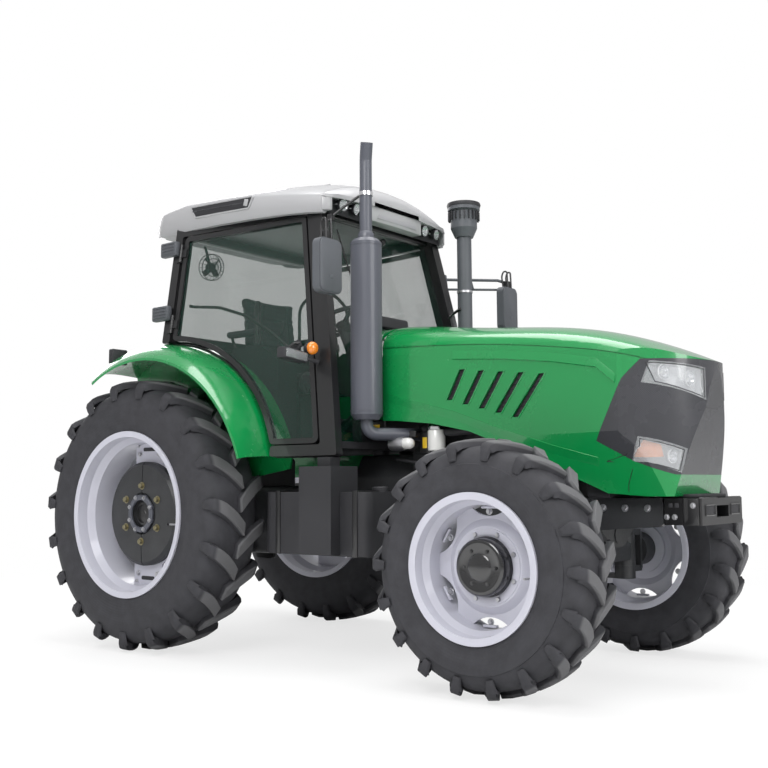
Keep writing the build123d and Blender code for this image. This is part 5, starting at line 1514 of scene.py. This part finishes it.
class TRACTOR_OT_rear_end(bpy.types.Operator):
    """Couplers on their plate, the shaft's guard and flange, and bolts of the back"""

    bl_idname = "tractor.rear_end"
    bl_label = "Rear end"

    def execute(self, context):
        shape = Shape("rear_fittings", "casting")
        back = box_mm("rear_axle_housing")[0].x
        shape.use("black_paint")
        for y0, y1 in ((-118, -110), (110, 118)):
            shape.prism([(back, 720), (back - 118, 704), (back - 118, 676), (back, 580)], y0, y1, bevel=1)
        shape.prism([(back, 722), (back, 714), (back - 120, 698), (back - 120, 706)], -118, 118, bevel=1)
        shape.use("casting")
        shape.lathe([(0, 36), (0, 92), (14, 92), (20, 80), (20, 36)], (back, 0, 640), (-1, 0, 0), 40)
        shape.use("steel")
        shape.repeat(lambda s: s.bolt((0, 0, 80), (-1, 0, 0), 8, 8), 6, (back - 14, 0, 640), axis=(1, 0, 0),
                     turn=math.pi / 3)
        for side in (-1, 1):
            for place in (0, 1):
                y = side * (90 + place * 62)
                shape.use("casting")
                shape.block((back - 26, y, 1105), (52, 52, 96), 6)
                for level in (1082, 1126):
                    shape.use("steel")
                    shape.lathe([(0, 0), (0, 17), (26, 17), (30, 13), (30, 0)], (back - 52, y, level),
                                (-1, 0, 0), 20)
                    shape.use("red_lens" if place else "gloss_black")
                    shape.lathe([(0, 0), (0, 20), (7, 20), (10, 15), (10, 0)], (back - 80, y, level),
                                (-1, 0, 0), 20)
            shape.use("steel")
            for z in (610, 760, 900, 1000):
                place, normal = on_skin("rear_axle_housing", (BEHIND, side * 190, z), (1, 0, 0))
                shape.bolt(place, normal, 12, 11)
            shape.repeat(lambda s: s.bolt((0, 0, 168), (0, side, 0), 9, 9), 12, (0, side * 540, 834),
                         turn=math.pi / 6, start=0.1)
        shape.use("black_paint")
        shape.prism([(back, 1190), (back - 40, 1180), (back - 40, 1040), (back, 1030)], -240, 240, bevel=4)
        shape.done("chassis")
        return {"FINISHED"}


class TRACTOR_OT_sides(bpy.types.Operator):
    """Edges of the fenders, brackets of the right tank, caps of both tanks and treads of the steps"""

    bl_idname = "tractor.sides"
    bl_label = "Sides"

    def execute(self, context):
        shape = Shape("side_fittings", "dark_plastic")
        for side in (-1, 1):
            edge = []
            for step in range(20):  # lines from an arc over the wheel down to the fender
                angle = math.radians(18 + step * 5.4)
                start = (46 + 1400 * math.cos(angle), side * 745, 921 + 1400 * math.sin(angle))
                place, normal = on_skin("fenders", start, (-math.cos(angle), 0, -math.sin(angle)))
                edge.append(place + normal * 3)
            shape.use("dark_plastic")
            shape.tube(edge, 9, 8)
            shape.use("black_paint")
            if side < 0:
                for x in (1020, 1590):
                    shape.prism([(x, 616), (x + 34, 616), (x + 34, 974), (x, 974)], side * 330,
                                side * 796, bevel=3)
            shape.use("dark_plastic")
            shape.lathe([(0, 0), (0, 46), (22, 46), (28, 40), (28, 0)], (1600, side * 560, 966), (0, 0, 1), 28)
            shape.repeat(lambda s: s.block((0, 0, 0), (6, 5, 26), 1), 18, (1600, side * 560, 982), axis=(0, 0, 1),
                         turn=math.pi / 9)
        shape.use("dark_plastic")
        for z, y0, y1 in ((462, 776, 894), (722, 721, 844), (982, 706, 799)):
            shape.repeat(lambda s, a=y0, b=y1: s.block((0, (a + b) / 2, 0), (7, b - a - 10, 6), 1.2), 19,
                         (940, 0, z + 2), step=(20.5, 0, 0))
        shape.done("chassis")
        return {"FINISHED"}


class TRACTOR_OT_frame_finishes(bpy.types.Operator):
    """Give every shown piece of the frame its paint, plastic, glass or metal"""

    bl_idname = "tractor.frame_finishes"
    bl_label = "Frame finishes"

    def execute(self, context):
        by_node = {node: name for name, nodes in CAD_FINISH.items() for node in nodes}
        for node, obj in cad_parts.items():
            obj.data.materials.clear()
            obj.data.materials.append(finish(by_node.get(node, "black_paint")))
        return {"FINISHED"}


# Studio

# The camera was fitted to the wheels in the photograph: its place in millimetres, its angles in radians
EYE = (5218.9, -5135.8, 1009.8)
YAW, PITCH, ROLL = 2.2359, -0.0954, -0.0063
LENS, SENSOR = 48.81, 36.0
# name, place in metres, size in metres, power in watts
LIGHTS = (("key_light", (2.5, -6.5, 6.5), 5.0, 420), ("top_light", (0.5, 0.0, 7.5), 6.0, 380),
          ("front_light", (8.0, -1.0, 4.0), 4.0, 220), ("rear_light", (-7.0, 3.0, 5.0), 5.0, 240))
WHITE = (1.0, 1.0, 1.0)
WORLD_STRENGTH = 0.55


class TRACTOR_OT_studio(bpy.types.Operator):
    """Pale floor, soft lights and the camera"""

    bl_idname = "tractor.studio"
    bl_label = "Studio"

    def execute(self, context):
        scene = context.scene
        scene.view_settings.view_transform = "Standard"
        ahead = Vector((math.cos(YAW) * math.cos(PITCH), math.sin(YAW) * math.cos(PITCH), -math.sin(PITCH)))
        right = ahead.cross(Vector((0, 0, 1))).normalized()
        up = right.cross(ahead)
        right, up = (right * math.cos(ROLL) + up * math.sin(ROLL), up * math.cos(ROLL) - right * math.sin(ROLL))
        turn = Matrix((right, up, -ahead)).transposed()
        camera = bpy.data.cameras.new("camera")
        camera.lens = LENS
        camera.sensor_width = SENSOR
        camera.clip_end = 200.0
        view = bpy.data.objects.new("camera", camera)
        view.matrix_world = Matrix.Translation(at(*EYE)) @ turn.to_4x4()
        scene.collection.objects.link(view)
        scene.camera = view
        self.floor(scene)
        self.world(scene)
        for name, place, size, power in LIGHTS:
            source = bpy.data.lights.new(name, "AREA")
            source.shape = "DISK"
            source.size = size
            source.energy = power
            light = bpy.data.objects.new(name, source)
            light.location = place
            light.rotation_euler = (Vector((0, 0, 1.2)) - Vector(place)).to_track_quat("-Z", "Y").to_euler()
            scene.collection.objects.link(light)
        return {"FINISHED"}

    def floor(self, scene):
        """A wide floor, which the camera sees white away from the tractor's shadow."""
        shape = bmesh.new()
        bmesh.ops.create_grid(shape, x_segments=1, y_segments=1, size=60.0)
        mesh = bpy.data.meshes.new("floor")
        shape.to_mesh(mesh)
        shape.free()
        floor = bpy.data.objects.new("floor", mesh)
        scene.collection.objects.link(floor)
        f = Finish("floor")
        path = f.node("ShaderNodeLightPath")
        seen = Value(f, path.socket.node.outputs["Is Camera Ray"])
        plain = f.node("ShaderNodeBsdfDiffuse", None, {"Color": (0.86, 0.86, 0.86)})
        white = f.node("ShaderNodeEmission", None, {"Color": WHITE, "Strength": 1.0})
        split = f.node("ShaderNodeSeparateXYZ", None, {"Vector": f.place()})
        across = Value(f, split.socket.node.outputs[1])
        far = ((split * split + across * across) ** 0.5).above(5.0, 1.8)
        f.node_out(f.node("ShaderNodeMixShader", None, {0: seen * (0.72 + far * 0.28), 1: plain, 2: white}))
        mesh.materials.append(f.material)

    def world(self, scene):
        """A white backdrop, and a dimmer one that lights the tractor."""
        world = bpy.data.worlds.new("studio")
        world.use_nodes = True
        tree = world.node_tree
        tree.nodes.clear()
        path = tree.nodes.new("ShaderNodeLightPath")
        seen = tree.nodes.new("ShaderNodeMath")
        seen.operation = "MAXIMUM"
        tree.links.new(path.outputs["Is Camera Ray"], seen.inputs[0])
        tree.links.new(path.outputs["Is Transmission Ray"], seen.inputs[1])
        both = tree.nodes.new("ShaderNodeMixShader")
        out = tree.nodes.new("ShaderNodeOutputWorld")
        tree.links.new(seen.outputs[0], both.inputs[0])
        for place, strength in ((1, WORLD_STRENGTH), (2, 1.0)):
            back = tree.nodes.new("ShaderNodeBackground")
            back.inputs["Strength"].default_value = strength
            back.inputs["Color"].default_value = (*WHITE, 1.0)
            tree.links.new(back.outputs[0], both.inputs[place])
        tree.links.new(both.outputs[0], out.inputs[0])
        scene.world = world


OPERATORS = (TRACTOR_OT_frame_finishes, TRACTOR_OT_tyres, TRACTOR_OT_rear_wheel_fittings,
             TRACTOR_OT_front_wheel_fittings, TRACTOR_OT_hood_trim, TRACTOR_OT_lamp_pods, TRACTOR_OT_roof,
             TRACTOR_OT_cab_lamps, TRACTOR_OT_cab_outside, TRACTOR_OT_doors, TRACTOR_OT_cab_inside,
             TRACTOR_OT_seat_pads, TRACTOR_OT_engine_side, TRACTOR_OT_front_end, TRACTOR_OT_rear_end,
             TRACTOR_OT_sides, TRACTOR_OT_studio)


class TRACTOR_PT_panel(bpy.types.Panel):
    """The tractor's pieces, each with its button"""

    bl_idname = "TRACTOR_PT_panel"
    bl_label = "Farm tractor"
    bl_space_type = "VIEW_3D"
    bl_region_type = "UI"
    bl_category = "Tractor"

    def draw(self, context):
        for operator in OPERATORS:
            self.layout.operator(operator.bl_idname)


CLASSES = (TRACTOR_PG_sizes, TRACTOR_PG_colours, *OPERATORS, TRACTOR_PT_panel)


def register():
    for cls in CLASSES:
        bpy.utils.register_class(cls)
    bpy.types.Scene.tractor_sizes = bpy.props.PointerProperty(type=TRACTOR_PG_sizes)
    bpy.types.Scene.tractor_colours = bpy.props.PointerProperty(type=TRACTOR_PG_colours)


def unregister():
    del bpy.types.Scene.tractor_sizes
    del bpy.types.Scene.tractor_colours
    for cls in reversed(CLASSES):
        bpy.utils.unregister_class(cls)


def main():
    register()
    for operator in OPERATORS:
        group, name = operator.bl_idname.split(".")
        getattr(getattr(bpy.ops, group), name)()


if __name__ == "__main__":
    main()
